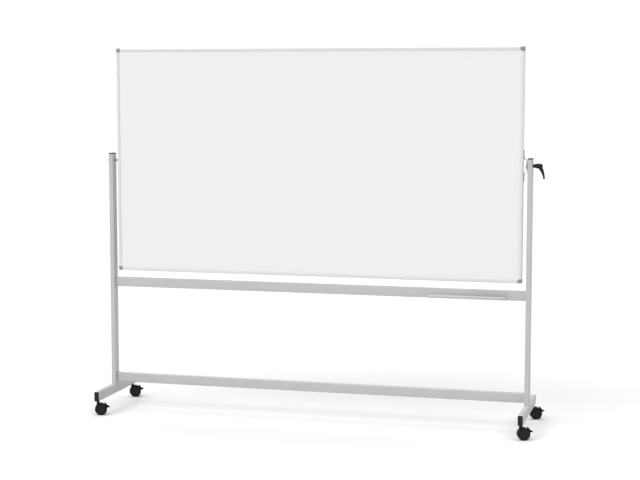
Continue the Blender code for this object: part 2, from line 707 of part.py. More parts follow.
def lever_arm():
    """The arm bends down out of the hub and thins towards the tip."""
    curve = bpy.data.curves.new("clamp_lever_arm", "CURVE")
    curve.dimensions = "3D"
    curve.bevel_depth = 1.0
    curve.bevel_resolution = 2
    curve.use_fill_caps = True
    spline = curve.splines.new("POLY")
    spline.points.add(len(LEVER_ARM) - 1)
    for point, (out, up, radius) in zip(spline.points, LEVER_ARM):
        point.co = (out, 0, up, 1)
        point.radius = radius
    return curve_as_mesh(curve)


def make_clamp_lever():
    """The moulded lever: a hub over the spindle's thread, an arm and a ball at its end."""
    inwards, back = LEVER_CROWN
    profile = [
        (0, LEVER_HUB), (LEVER_HUB_RADIUS - inwards, LEVER_HUB),
        (LEVER_HUB_RADIUS, LEVER_HUB - back), (LEVER_HUB_RADIUS, LEVER_COLLAR + LEVER_STEP),
        (LEVER_COLLAR_RADIUS, LEVER_COLLAR), (LEVER_COLLAR_RADIUS, 0), (0, 0),
    ]
    hub = turned("clamp_lever", profile, 24, BLACK_PLASTIC)
    at(hub, None, (COLUMN_OUTER + GAP, 0, PIVOT_HEIGHT), (0, math.pi / 2, 0))
    upright = Matrix.Rotation(-math.pi / 2, 4, "Y")
    arm = lever_arm()
    bmesh.ops.transform(arm, matrix=upright, verts=arm.verts)
    add(hub, arm)
    tip = bmesh.new()
    bmesh.ops.create_uvsphere(tip, u_segments=14, v_segments=8, radius=LEVER_TIP_RADIUS)
    bmesh.ops.translate(tip, vec=upright @ Vector((LEVER_TIP[0], 0, LEVER_TIP[1])), verts=tip.verts)
    add(hub, tip)
    cut(hub, rod(SPINDLE_RADIUS + GAP, (0, 0, -SPAN), (0, 0, SPINDLE_OUTSIDE + GAP)))


# ---------------------------------------------------------------- casters


def make_hood(name, caster):
    """A web between the wheels, a shell over them, the boss and the pressed-in stem."""
    axle = Vector((CASTER_TRAIL, 0, WHEEL_RADIUS))
    half = Vector((0, WHEEL_OUTER - SWIVEL_GAP, 0))
    hood = piece(name, rod(HOOD_RADIUS, axle - half, axle + half, 36), BLACK_PLASTIC, caster)
    add(hood, rod(BOSS_RADIUS, (0, 0, WHEEL_RADIUS), (0, 0, FOOT_BOTTOM - SWIVEL_GAP), 20))
    add(hood, rod(STEM_RADIUS, (0, 0, HOOD_RADIUS), (0, 0, FOOT_BOTTOM + STEM_LENGTH)))
    well = WHEEL_RADIUS + HOOD_CLEARANCE
    for way in (-1, 1):
        near = axle + Vector((0, way * WEB_HALF, 0))
        far = axle + Vector((0, way * (WHEEL_OUTER + SPAN), 0))
        cut(hood, rod(well, near, far, 36))
    reach = HOOD_RADIUS + SPAN
    notch = CASTER_TRAIL + HOOD_NOTCH
    cut(hood, box((-reach, -reach, -SPAN), (notch + reach, reach, HOOD_LOW)))
    cut(hood, box((notch, -reach, -SPAN / 2), (notch + reach, reach, WHEEL_RADIUS + reach)))
    cut(hood, rod(AXLE_RADIUS + GAP, axle - half, axle + half))
    cut_brake_seat(hood, axle, notch)
    return smooth(hood)


def cut_brake_seat(hood, axle, notch):
    """A slot in the web for the brake lever's ear, and a hole for its pin."""
    pivot = axle + Vector((BRAKE_PIVOT[0], 0, BRAKE_PIVOT[1]))
    side = BRAKE_EAR_HALF + GAP
    low = (pivot.x - BRAKE_SEAT, -side, pivot.z - BRAKE_SEAT)
    cut(hood, box(low, (notch + SPAN, side, pivot.z + BRAKE_SEAT_TOP)))
    across = Vector((0, WEB_HALF + SPAN, 0))
    cut(hood, rod(BRAKE_PIN_RADIUS + GAP, pivot - across, pivot + across, 16))


def make_wheel(name, way, caster):
    """One of the two wheels: a tread ring, a shallow dish and a blind bore."""
    bore = AXLE_RADIUS + GAP
    depth = AXLE_GRIP + GAP
    dish = WHEEL_RADIUS - WHEEL_TREAD
    tread = WHEEL_RADIUS - WHEEL_EDGE
    profile = [
        (0, WHEEL_WIDTH - GAP), (dish - WHEEL_GROOVE, WHEEL_WIDTH - WHEEL_GROOVE),
        (dish, WHEEL_WIDTH), (tread, WHEEL_WIDTH), (WHEEL_RADIUS, WHEEL_WIDTH - WHEEL_EDGE),
        (WHEEL_RADIUS, WHEEL_EDGE), (tread, 0), (bore, 0), (bore, depth), (0, depth),
    ]
    wheel = turned(name, profile, 32, BLACK_PLASTIC, caster)
    place = (CASTER_TRAIL, way * WHEEL_SPACING / 2, WHEEL_RADIUS)
    at(wheel, caster, place, (-way * math.pi / 2, 0, 0))


def make_axle(name, caster):
    half = Vector((0, WHEEL_SPACING / 2 + AXLE_GRIP, 0))
    axle = piece(name, rod(AXLE_RADIUS, -half, half), STEEL, caster)
    at(axle, caster, (CASTER_TRAIL, 0, WHEEL_RADIUS))


def polar(radius, degrees):
    turn = math.radians(degrees)
    return (radius * math.cos(turn), radius * math.sin(turn))


def shifted(points):
    """Points measured from the axle, moved so that they are measured from the brake's pin."""
    return [(x - BRAKE_PIVOT[0], z - BRAKE_PIVOT[1]) for x, z in points]


def beyond_tread(distance, degrees):
    return polar(WHEEL_RADIUS + distance, degrees)


def make_brake(name, caster):
    """The foot lever: a wide crescent with a tab and a horn, and an ear between the wheels."""
    inner = WHEEL_RADIUS + BRAKE_CLEARANCE
    arc = [polar(inner, angle) for angle in BRAKE_ARC]
    back = [beyond_tread(*corner) for corner in (BRAKE_HORN, BRAKE_HORN_BACK, BRAKE_SHOULDER)]
    tab = [(WHEEL_RADIUS + out, up) for out, up in BRAKE_TAB]
    crescent = shifted([*arc, *back, *tab, beyond_tread(*BRAKE_ROOT)])
    upright = Matrix.Rotation(math.pi / 2, 4, "X")
    bm = flat_outline(name, crescent, BRAKE_HALF_WIDTH)
    bmesh.ops.transform(bm, matrix=upright, verts=bm.verts)
    brake = piece(name, bm, BLACK_PLASTIC, caster)
    add_ear(brake, inner, upright)
    across = Vector((0, WEB_HALF - GAP, 0))
    add(brake, rod(BRAKE_PIN_RADIUS, -across, across, 16))
    pivot = (CASTER_TRAIL + BRAKE_PIVOT[0], 0, WHEEL_RADIUS + BRAKE_PIVOT[1])
    at(brake, caster, pivot)


def add_ear(brake, inner, upright):
    """The ear joins the crescent to the pin, in the slot of the hood."""
    neck = HOOD_NOTCH + BRAKE_NECK
    top, bottom = BRAKE_PIVOT[1] + BRAKE_EYE, BRAKE_PIVOT[1] - BRAKE_EYE
    rooted = [polar(inner + BRAKE_EAR_IN, angle) for angle in BRAKE_EAR_ARC]
    foot = polar(inner + BRAKE_EAR_FOOT[0], BRAKE_EAR_FOOT[1])
    ear = shifted([
        (neck, top), *rooted, foot, (neck, bottom), (BRAKE_PIVOT[0], bottom), (BRAKE_PIVOT[0], top),
    ])
    bm = flat_outline(brake.name + "_ear", ear, BRAKE_EAR_HALF)
    bmesh.ops.transform(bm, matrix=upright, verts=bm.verts)
    add(brake, bm)
    side = Vector((0, BRAKE_EAR_HALF - GAP, 0))
    add(brake, rod(BRAKE_EYE + GAP, -side, side, 20))


def make_caster(end, way, side, sign):
    label = f"{end}_{side}_caster"
    place = (sign * COLUMN_X, way * CASTER_Y, 0)
    caster = axis_empty(label, place, (0, 0, CASTER_TURN))
    make_hood(label + "_hood", caster)
    make_axle(label + "_axle", caster)
    for wheel_end, wheel_way in ENDS.items():
        make_wheel(f"{label}_{wheel_end}_wheel", wheel_way, caster)
    make_brake(label + "_brake", caster)


# ---------------------------------------------------------------- assembly


def make_stand():
    for side, sign in SIDES.items():
        make_column(side, sign)
        make_foot(side, sign)
    make_crossbar("upper_crossbar", UPPER_BAR_Z)
    make_crossbar("lower_crossbar", LOWER_BAR_Z)
    make_caps()
    make_crossbar_bolts()
    make_foot_bolts()
    make_pen_tray()


def make_board():
    board = axis_empty("board_axis", (0, 0, PIVOT_HEIGHT))
    make_sheets(board)
    make_core(board)
    make_rails(board)
    make_corners(board)
    make_clamp_bracket(board)
    make_bracket_screws(board)
    make_spindle(board)
    make_friction_washer(board)
    make_left_pivot(board)


make_stand()
make_board()
make_clamp_lever()
for end_name, end_way in ENDS.items():
    for side_name, side_sign in SIDES.items():
        make_caster(end_name, end_way, side_name, side_sign)
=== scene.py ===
# %% [markdown]
# # A revolving whiteboard on a rolling stand
#
# This lesson dresses a finished CAD assembly. The CAD says where every piece is and how it moves.
# Here each piece gets the shape and the finish of the real one: rounded tubes under powder coat,
# anodised rails, moulded corners and caps, twin-wheel casters and a clamping lever.
# Every piece is built where it stands, in metres, and then rides on the CAD body it belongs to.

# %% Load the frame
import json
import math

import bmesh
import bpy
from mathutils import Matrix, Vector


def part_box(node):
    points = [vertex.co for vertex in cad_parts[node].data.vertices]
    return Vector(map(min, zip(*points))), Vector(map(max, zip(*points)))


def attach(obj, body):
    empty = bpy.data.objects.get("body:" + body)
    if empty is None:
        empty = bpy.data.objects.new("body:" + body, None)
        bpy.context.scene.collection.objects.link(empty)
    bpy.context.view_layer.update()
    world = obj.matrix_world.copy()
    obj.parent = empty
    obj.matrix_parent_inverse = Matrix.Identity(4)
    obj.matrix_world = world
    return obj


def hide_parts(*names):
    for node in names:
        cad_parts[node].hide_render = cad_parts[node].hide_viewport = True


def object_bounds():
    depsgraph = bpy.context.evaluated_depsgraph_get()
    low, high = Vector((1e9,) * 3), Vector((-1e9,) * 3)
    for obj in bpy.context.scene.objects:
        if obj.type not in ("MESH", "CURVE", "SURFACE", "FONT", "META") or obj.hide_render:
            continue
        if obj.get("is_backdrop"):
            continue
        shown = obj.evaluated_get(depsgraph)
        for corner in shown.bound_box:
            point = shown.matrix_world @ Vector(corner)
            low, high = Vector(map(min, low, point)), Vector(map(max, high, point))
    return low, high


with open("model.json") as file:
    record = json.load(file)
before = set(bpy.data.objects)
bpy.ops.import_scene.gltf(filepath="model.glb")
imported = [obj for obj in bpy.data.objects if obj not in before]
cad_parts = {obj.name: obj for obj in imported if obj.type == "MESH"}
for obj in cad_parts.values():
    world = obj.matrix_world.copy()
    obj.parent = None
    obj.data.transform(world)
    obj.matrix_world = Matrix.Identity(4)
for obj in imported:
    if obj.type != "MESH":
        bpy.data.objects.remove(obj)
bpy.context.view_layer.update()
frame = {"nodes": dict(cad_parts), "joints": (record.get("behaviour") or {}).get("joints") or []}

# %% [markdown]
# ## Camera
#
# A long lens far away keeps the board's edges nearly parallel. The camera stands a little to the
# right of the board and a little above its middle, and looks slightly down.

# %% Camera
LENS_MM = 86.68
CAMERA_PLACE = (2.1053, -7.8059, 1.8046)
CAMERA_DOWN = math.radians(6.036)
CAMERA_LEFT = math.radians(14.873)

camera = bpy.data.objects.new("camera", bpy.data.cameras.new("camera"))
bpy.context.scene.collection.objects.link(camera)
camera.data.lens = LENS_MM
camera.location = CAMERA_PLACE
camera.rotation_euler = (math.pi / 2 - CAMERA_DOWN, 0, CAMERA_LEFT)
bpy.context.scene.camera = camera
print("camera at", CAMERA_PLACE)

# %% [markdown]
# ## Nodes with few words
#
# Every finish below is a small network of shader nodes. Two helpers keep them readable. `add_node`
# makes one node and fills its sockets, with a value or with a link. `grain` gives a noise that is
# read in Object coordinates, so the pattern keeps its real size and never slides on the piece.


# %% Node helpers
def add_node(tree, kind, sockets=None, **settings):
    """A shader node: settings are its properties, sockets are values or links."""
    made = tree.nodes.new("ShaderNode" + kind)
    for name, value in settings.items():
        setattr(made, name, value)
    for name, value in (sockets or {}).items():
        if isinstance(value, bpy.types.NodeSocket):
            tree.links.new(value, made.inputs[name])
        else:
            made.inputs[name].default_value = value
    return made


def grain(tree, per_metre, detail=3.0, roughness=0.55):
    """Noise whose cells repeat this many times in a metre along X, Y and Z."""
    where = add_node(tree, "TexCoord").outputs["Object"]
    stretched = add_node(tree, "Mapping", {"Vector": where, "Scale": per_metre})
    noise = add_node(tree, "TexNoise", {
        "Vector": stretched.outputs["Vector"], "Scale": 1.0, "Detail": detail,
        "Roughness": roughness,
    })
    return noise.outputs["Fac"]


def ramp(tree, factor, low, high, colour_low, colour_high):
    """Two colours, mixed where the factor runs from low to high."""
    made = add_node(tree, "ValToRGB", {"Fac": factor})
    made.color_ramp.elements[0].position = low
    made.color_ramp.elements[1].position = high
    made.color_ramp.elements[0].color = (*colour_low, 1)
    made.color_ramp.elements[1].color = (*colour_high, 1)
    return made.outputs["Color"]


def spread(tree, factor, low, high):
    """The factor from 0.3 to 0.7, where noise mostly lies, spread over low to high."""
    made = add_node(tree, "MapRange", {
        "Value": factor, "From Min": 0.3, "From Max": 0.7, "To Min": low, "To Max": high,
    })
    return made.outputs["Result"]


def raise_up(tree, height, distance, strength=1.0, after=None):
    """A bump of this height in metres, on top of another one if it is given."""
    sockets = {"Height": height, "Distance": distance, "Strength": strength}
    if after:
        sockets["Normal"] = after
    return add_node(tree, "Bump", sockets).outputs["Normal"]


def new_finish(name, slot, metallic=0.0, **sockets):
    """An empty finish: its node tree and its Principled shader. The slot argument is not used."""
    material = bpy.data.materials.new(name)
    material.use_nodes = True
    shader = material.node_tree.nodes["Principled BSDF"]
    shader.inputs["Metallic"].default_value = metallic
    for socket, value in sockets.items():
        shader.inputs[socket.replace("_", " ")].default_value = value
    return material, material.node_tree, shader


def feed(tree, shader, **links):
    """Links outputs into the shader's sockets."""
    for socket, output in links.items():
        tree.links.new(output, shader.inputs[socket.replace("_", " ")])


print("node helpers are ready")

# %% [markdown]
# ## Silver powder coat
#
# The stand is sprayed with powder that melts into a skin. Up close it has a fine pebbled surface,
# called orange peel, and a light dusting of metal flake. From a distance it is an even warm grey.
# A fine noise makes the pebbles, a finer one the flake, and a slow one keeps the long tubes from
# looking like one flat colour. Painting it with an image would be simpler but wouldn't scale.

# %% Silver powder coat
PAINT_DULL = (0.414, 0.414, 0.404)
PAINT_BRIGHT = (0.428, 0.428, 0.418)


def make_silver_paint():
    name = "silver_powder_coat"
    material, tree, shader = new_finish(name, "silver_paint", Specular_IOR_Level=0.45)
    slow = grain(tree, (7, 7, 7), 2.0)
    flake = grain(tree, (2600, 2600, 2600), 1.0)
    pebble = grain(tree, (520, 520, 520), 2.0)
    tint = ramp(tree, slow, 0.35, 0.65, PAINT_DULL, PAINT_BRIGHT)
    light = spread(tree, flake, 0.93, 1.06)
    mixed = add_node(tree, "VectorMath", {0: tint}, operation="SCALE")
    tree.links.new(light, mixed.inputs["Scale"])
    feed(
        tree, shader, Base_Color=mixed.outputs["Vector"], Roughness=spread(tree, slow, 0.40, 0.50),
        Normal=raise_up(tree, pebble, 0.00006, 0.6),
    )
    return material


SILVER_PAINT = make_silver_paint()
print("made", SILVER_PAINT.name)

# %% [markdown]
# ## Satin anodised aluminium
#
# The board's frame is an extruded profile. Extrusion leaves faint lines along the length, and
# anodising turns the metal matt and pale. Noise that is stretched along the profile makes the
# lines. The lines follow X on the level rails and Z on the upright ones, so there are two versions.

# %% Satin anodised aluminium
ALONG = {"x": (2.5, 1800, 1800), "z": (1800, 1800, 2.5)}
ANODISED_DULL = (0.600, 0.602, 0.602)
ANODISED_BRIGHT = (0.640, 0.642, 0.642)


def make_anodised(direction):
    name = "anodised_along_" + direction
    material, tree, shader = new_finish(name, "satin_aluminium", 0.30, Specular_IOR_Level=0.5)
    lines = grain(tree, ALONG[direction], 2.0)
    slow = grain(tree, (5, 5, 5), 2.0)
    tint = ramp(tree, lines, 0.3, 0.7, ANODISED_DULL, ANODISED_BRIGHT)
    feed(
        tree, shader, Base_Color=tint, Roughness=spread(tree, slow, 0.34, 0.44),
        Normal=raise_up(tree, lines, 0.00002, 0.5),
    )
    return material


ANODISED = {direction: make_anodised(direction) for direction in ALONG}
print("made", sorted(material.name for material in ANODISED.values()))

# %% [markdown]
# ## White enamel
#
# The writing sheets are steel with a fired glass coat: almost white, smooth, and slightly wavy
# because the sheet is thin. Dry wiping leaves faint hazy strokes that only show in the gloss.
# So the colour hardly changes, while the roughness follows a stretched noise.

# %% White enamel
ENAMEL_COOL = (0.672, 0.675, 0.675)
ENAMEL_WARM = (0.678, 0.679, 0.678)


def make_enamel():
    material, tree, shader = new_finish("fired_enamel", "white_enamel", Specular_IOR_Level=0.5)
    cloud = grain(tree, (0.9, 0.9, 0.9), 2.0)
    wiped = grain(tree, (3.0, 3.0, 14.0), 4.0, 0.6)
    waves = grain(tree, (2.2, 2.2, 2.2), 1.0)
    tint = ramp(tree, cloud, 0.35, 0.65, ENAMEL_COOL, ENAMEL_WARM)
    feed(
        tree, shader, Base_Color=tint, Roughness=spread(tree, wiped, 0.24, 0.27),
        Normal=raise_up(tree, waves, 0.0006, 0.25),
    )
    return material


ENAMEL = make_enamel()
print("made", ENAMEL.name)

# %% [markdown]
# ## Moulded plastics
#
# The corners are grey plastic, and the caps, casters and lever are black. Moulds for such pieces
# are spark-eroded, which prints a fine even texture on everything but the edges. One recipe makes
# all of them: a slow noise for colour, a fine one for the texture, and a rougher or smoother skin.


# %% Moulded plastics
def make_plastic(name, slot, dull, bright, smooth, rough, texture=0.00005):
    material, tree, shader = new_finish(name, slot, Specular_IOR_Level=0.20)
    slow = grain(tree, (60, 60, 60), 2.0)
    eroded = grain(tree, (1900, 1900, 1900), 2.0)
    feed(
        tree, shader, Base_Color=ramp(tree, slow, 0.35, 0.65, dull, bright),
        Roughness=spread(tree, slow, smooth, rough), Normal=raise_up(tree, eroded, texture, 0.7),
    )
    return material


GREY_PLASTIC = make_plastic(
    "grey_moulding", "grey_plastic", (0.205, 0.212, 0.210), (0.240, 0.246, 0.244), 0.45, 0.55
)
BLACK_PLASTIC = make_plastic(
    "black_moulding", "black_plastic", (0.0045,) * 3, (0.0065,) * 3, 0.42, 0.52
)
BLACK_FACE = make_plastic("black_face", "black_plastic", (0.0090,) * 3, (0.0115,) * 3, 0.50, 0.60)
WHEEL_TREAD = make_plastic(
    "wheel_tread", "black_plastic", (0.0035,) * 3, (0.0050,) * 3, 0.50, 0.62, 0.00003
)
print("made", GREY_PLASTIC.name, BLACK_PLASTIC.name, BLACK_FACE.name, WHEEL_TREAD.name)

# %% [markdown]
# ## Zinc-plated steel and the core
#
# Bolts, screws and the clamp's bracket are zinc plated: a dull metal with a crystalline cloudiness.
# The core between the sheets is paper board, which nobody sees unless the frame comes off. It still
# gets its brown fibres, because a finished piece has no blank places.


# %% Zinc-plated steel and core board
def make_zinc():
    material, tree, shader = new_finish("zinc_plate", "zinc_steel", 0.75)
    cloud = grain(tree, (350, 350, 350), 3.0)
    fine = grain(tree, (2500, 2500, 2500), 1.0)
    tint = ramp(tree, cloud, 0.35, 0.65, (0.36, 0.365, 0.36), (0.47, 0.47, 0.46))
    feed(
        tree, shader, Base_Color=tint, Roughness=spread(tree, cloud, 0.30, 0.46),
        Normal=raise_up(tree, fine, 0.00002, 0.5),
    )
    return material


def make_core_board():
    material, tree, shader = new_finish("paper_core", "core_board", Specular_IOR_Level=0.2)
    fibre = grain(tree, (40, 400, 400), 4.0)
    tint = ramp(tree, fibre, 0.3, 0.7, (0.40, 0.29, 0.18), (0.55, 0.42, 0.28))
    feed(
        tree, shader, Base_Color=tint, Roughness=spread(tree, fibre, 0.85, 0.95),
        Normal=raise_up(tree, fibre, 0.0003, 0.6),
    )
    return material


ZINC = make_zinc()
CORE_BOARD = make_core_board()
print("made", ZINC.name, CORE_BOARD.name)

# %% [markdown]
# ## A few ways to shape metal and plastic
#
# Everything below starts as a primitive or as a short line of vertices, and operators do the rest:
# bevel for rounded edges, spin for turned pieces, extrude and solidify for sheet metal. A few small
# helpers name those moves. Each returns a bmesh, and `finish_piece` turns that into an object.

# %% Shaping helpers
CLEARANCE = 0.0003
NEAR = 0.00001


def block(low, high):
    """A box between two corners."""
    bm = bmesh.new()
    bmesh.ops.create_cube(bm, size=1.0)
    low, high = Vector(low), Vector(high)
    bmesh.ops.scale(bm, vec=high - low, verts=bm.verts)
    bmesh.ops.translate(bm, vec=(low + high) / 2, verts=bm.verts)
    return bm


def round_off(bm, edges, width, segments):
    """Rounds edges."""
    bmesh.ops.bevel(
        bm, geom=list(edges), offset=width, offset_type="OFFSET", segments=segments,
        profile=0.5, affect="EDGES", material=-1, clamp_overlap=True,
    )


def middle_of(edge):
    return (edge.verts[0].co + edge.verts[1].co) / 2


def edges_along(bm, axis):
    """The edges that run along one axis."""
    return [
        e for e in bm.edges
        if abs((e.verts[0].co - e.verts[1].co).normalized()[axis]) > 0.999
    ]


def corner_edges(bm, degrees=30):
    """The edges where two faces meet at more than this angle."""
    bm.normal_update()
    return [
        e for e in bm.edges
        if len(e.link_faces) == 2 and e.calc_face_angle(0) > math.radians(degrees)
    ]


def turned(profile, steps):
    """A line of (radius, height) points, spun about Z."""
    bm = bmesh.new()
    points = [bm.verts.new((radius, 0, height)) for radius, height in profile]
    line = [bm.edges.new(pair) for pair in zip(points, points[1:])]
    bmesh.ops.spin(
        bm, geom=points + line, cent=(0, 0, 0), axis=(0, 0, 1), angle=2 * math.pi,
        steps=steps, use_merge=True,
    )
    bmesh.ops.remove_doubles(bm, verts=bm.verts, dist=0.000001)
    bmesh.ops.recalc_face_normals(bm, faces=bm.faces)
    return bm


def moved(bm, *matrices):
    """The same bmesh, moved by these matrices from right to left."""
    whole = Matrix.Identity(4)
    for matrix in matrices:
        whole = whole @ matrix
    bmesh.ops.transform(bm, matrix=whole, verts=bm.verts)
    return bm


def shift(x, y, z):
    return Matrix.Translation((x, y, z))


def turn(degrees, axis):
    return Matrix.Rotation(math.radians(degrees), 4, axis)


def joined(*shapes):
    """Several bmeshes as one, with their faces kept apart."""
    whole = bmesh.new()
    for bm in shapes:
        mesh = bpy.data.meshes.new("joined")
        bm.to_mesh(mesh)
        bm.free()
        whole.from_mesh(mesh)
        bpy.data.meshes.remove(mesh)
    return whole


def as_helper(bm):
    mesh = bpy.data.meshes.new("helper")
    bm.to_mesh(mesh)
    bm.free()
    helper = bpy.data.objects.new("helper", mesh)
    bpy.context.scene.collection.objects.link(helper)
    return helper


def combined(bm, *steps):
    """Boolean steps on a bmesh: each is an operation's name and the bmesh to do it with."""
    base = as_helper(bm)
    helpers = [base]
    for operation, other in steps:
        helper = as_helper(other)
        helpers.append(helper)
        step = base.modifiers.new(operation, "BOOLEAN")
        step.operation = operation
        step.solver = "EXACT"
        step.object = helper
    graph = bpy.context.evaluated_depsgraph_get()
    mesh = bpy.data.meshes.new_from_object(base.evaluated_get(graph))
    result = bmesh.new()
    result.from_mesh(mesh)
    bpy.data.meshes.remove(mesh)
    for helper in helpers:
        mesh = helper.data
        bpy.data.objects.remove(helper)
        bpy.data.meshes.remove(mesh)
    bmesh.ops.remove_doubles(result, verts=result.verts, dist=0.000002)
    return result


def finish_piece(name, bm, materials, body, *nodes, sharp=32):
    """An object at the origin that rides on a CAD body and stands for CAD nodes."""
    bmesh.ops.recalc_face_normals(bm, faces=bm.faces)
    mesh = bpy.data.meshes.new(name)
    bm.to_mesh(mesh)
    bm.free()
    mesh.shade_smooth()
    mesh.set_sharp_from_angle(angle=math.radians(sharp))
    finishes = materials if isinstance(materials, list) else [materials]
    for material in finishes:
        mesh.materials.append(material)
    piece = bpy.data.objects.new(name, mesh)
    bpy.context.scene.collection.objects.link(piece)
    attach(piece, body)
    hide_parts(*nodes)
    print(name, "has", len(mesh.polygons), "faces")
    return piece


def centre_of(node):
    low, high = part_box(node)
    return (low + high) / 2


# %% [markdown]
# ## The stand's tubes
#
# Columns, crossbars and feet are cut from one stock: 50 by 25 mm steel tube with 1.5 mm walls and
# rounded corners. A cube becomes such a tube in three moves: its long edges are bevelled, its end
# faces are removed, and the shell gets a wall. The columns keep their lower end face, which is
# the plate that the foot's bolt goes into, and the crossbars keep both.

# %% Tubes
TUBE_CORNER = 0.003
TUBE_WALL = 0.0015
BAR_BOLT_HOLE = 0.0043


def tube(low, high, axis, closed=(False, False)):
    """A rectangular tube along an axis; closed says which of its ends keep their plate."""
    bm = block(low, high)
    round_off(bm, edges_along(bm, axis), TUBE_CORNER, 6)
    bm.normal_update()
    ends = []
    for face in bm.faces:
        facing = face.normal[axis]
        if abs(facing) > 0.999 and not closed[facing > 0]:
            ends.append(face)
    bmesh.ops.delete(bm, geom=ends, context="FACES_ONLY")
    if not all(closed):
        bmesh.ops.solidify(bm, geom=list(bm.faces), thickness=TUBE_WALL)
    return bm


def bore(centre, axis, radius, reach):
    """A round cutter through a centre, along an axis."""
    bm = bmesh.new()
    bmesh.ops.create_cone(
        bm, cap_ends=True, segments=32, radius1=radius, radius2=radius, depth=2 * reach
    )
    facing = {0: turn(90, "Y"), 1: turn(90, "X"), 2: Matrix.Identity(4)}[axis]
    return moved(bm, Matrix.Translation(centre), facing)


pivot = centre_of("left_column")
pivot.z = frame["joints"][0]["pos_m"][2]
bar_heights = [centre_of("upper_crossbar").z, centre_of("lower_crossbar").z]

PIVOT_HOLE = 0.0043
SPINDLE_HOLE = 0.0053
HOLE_REACH = 0.02

for side, pivot_hole in (("left", PIVOT_HOLE), ("right", SPINDLE_HOLE)):
    low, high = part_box(f"{side}_column")
    column = tube(low, high, 2, (True, False))
    middle = (low + high) / 2
    holes = [(pivot.z, pivot_hole), *[(height, BAR_BOLT_HOLE) for height in bar_heights]]
    cutters = [
        ("DIFFERENCE", bore((middle.x, 0, height), 0, radius, HOLE_REACH))
        for height, radius in holes
    ]
    column = combined(column, *cutters)
    finish_piece(f"{side}_upright_tube", column, SILVER_PAINT, "stand", f"{side}_column")

    low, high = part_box(f"{side}_foot")
    foot = tube(low, high, 1)
    finish_piece(f"{side}_foot_tube", foot, SILVER_PAINT, "stand", f"{side}_foot")

for level in ("upper", "lower"):
    low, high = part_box(f"{level}_crossbar")
    crossbar = tube(low, high, 0, (True, True))
    finish_piece(f"{level}_cross_tube", crossbar, SILVER_PAINT, "stand", f"{level}_crossbar")

# %% [markdown]
# ## Tube caps
#
# A black plug closes each open tube end. It has a rim as large as the tube, rounded all round, and
# a flat panel that lies a little lower than the rim. Bevel, inset and extrude make it from one
# block. The insets stay smaller than what is left of the corner's radius, because a larger inset
# would fold the face over itself there.

# %% Tube caps
TUBE_HALF = (0.0125, 0.025)
CAP_RIM = 0.005
CAP_PLUG = 0.008
CAP_EDGE = 0.0016
CAP_LAND = 0.0008
CAP_STEP = 0.0004
CAP_GRIP = TUBE_WALL + CLEARANCE


def tube_cap():
    """A cap that closes a tube below it; the tube's end is at height 0."""
    x_half, y_half = TUBE_HALF
    bm = block((-x_half, -y_half, CLEARANCE), (x_half, y_half, CAP_RIM))
    round_off(bm, edges_along(bm, 2), TUBE_CORNER, 6)
    top = [e for e in bm.edges if all(v.co.z > CAP_RIM - NEAR for v in e.verts)]
    round_off(bm, top, CAP_EDGE, 5)
    bm.normal_update()
    roof = max(bm.faces, key=lambda face: face.calc_center_median().z)
    bmesh.ops.inset_region(bm, faces=[roof], thickness=CAP_LAND)
    bmesh.ops.inset_region(bm, faces=[roof], thickness=CAP_STEP, depth=-CAP_STEP)
    roof.material_index = 1
    floor = min(bm.faces, key=lambda face: face.calc_center_median().z)
    bmesh.ops.inset_region(bm, faces=[floor], thickness=CAP_GRIP)
    grown = bmesh.ops.extrude_face_region(bm, geom=[floor])
    lower = [v for v in grown["geom"] if isinstance(v, bmesh.types.BMVert)]
    bmesh.ops.translate(bm, vec=(0, 0, -CAP_PLUG - CLEARANCE), verts=lower)
    bmesh.ops.delete(bm, geom=[floor], context="FACES_ONLY")
    return bm


CAP_FINISH = [BLACK_PLASTIC, BLACK_FACE]

for side in ("left", "right"):
    low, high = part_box(f"{side}_column")
    place = shift((low.x + high.x) / 2, 0, high.z)
    cap = moved(tube_cap(), place)
    finish_piece(f"{side}_upright_end", cap, CAP_FINISH, "stand", f"{side}_column_cap")
    low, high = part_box(f"{side}_foot")
    for end, y, quarter in (("front", low.y, 90), ("rear", high.y, -90)):
        place = shift((low.x + high.x) / 2, y, (low.z + high.z) / 2)
        cap = moved(tube_cap(), place, turn(quarter, "X"))
        node = f"{side}_foot_{end}_cap"
        finish_piece(f"{side}_foot_{end}_end", cap, CAP_FINISH, "stand", node)

# %% [markdown]
# ## Socket bolts and screws
#
# Every bolt is a turned profile with a hexagonal socket. The profile stops at the edge of a round
# opening in the head. A hexagon is laid in that opening, `bridge_loops` joins the round edge to it,
# and the hexagon is pulled down to make the socket. This costs no boolean and leaves clean faces.

# %% Socket bolts and screws
HEAD_CURVE = [(0.62, 1.00), (0.80, 0.94), (0.91, 0.80), (0.98, 0.55), (1.00, 0.30), (1.00, 0.05)]
SOCKET_SIZE = 0.42
SOCKET_DEPTH = 0.55
HEAD_SEAT = 0.98
TIP_CHAMFER = 0.0008
BOLT_SIDES = 40
BOLT_RADIUS = 0.004
BOLT_HEAD_RADIUS, BOLT_HEAD = 0.007, 0.002
PIVOT_HEAD_RADIUS, PIVOT_HEAD = 0.0075, 0.013
BAR_SHANK = 0.0413
FOOT_SHANK = 0.0583
PIVOT_SHANK = 0.0607


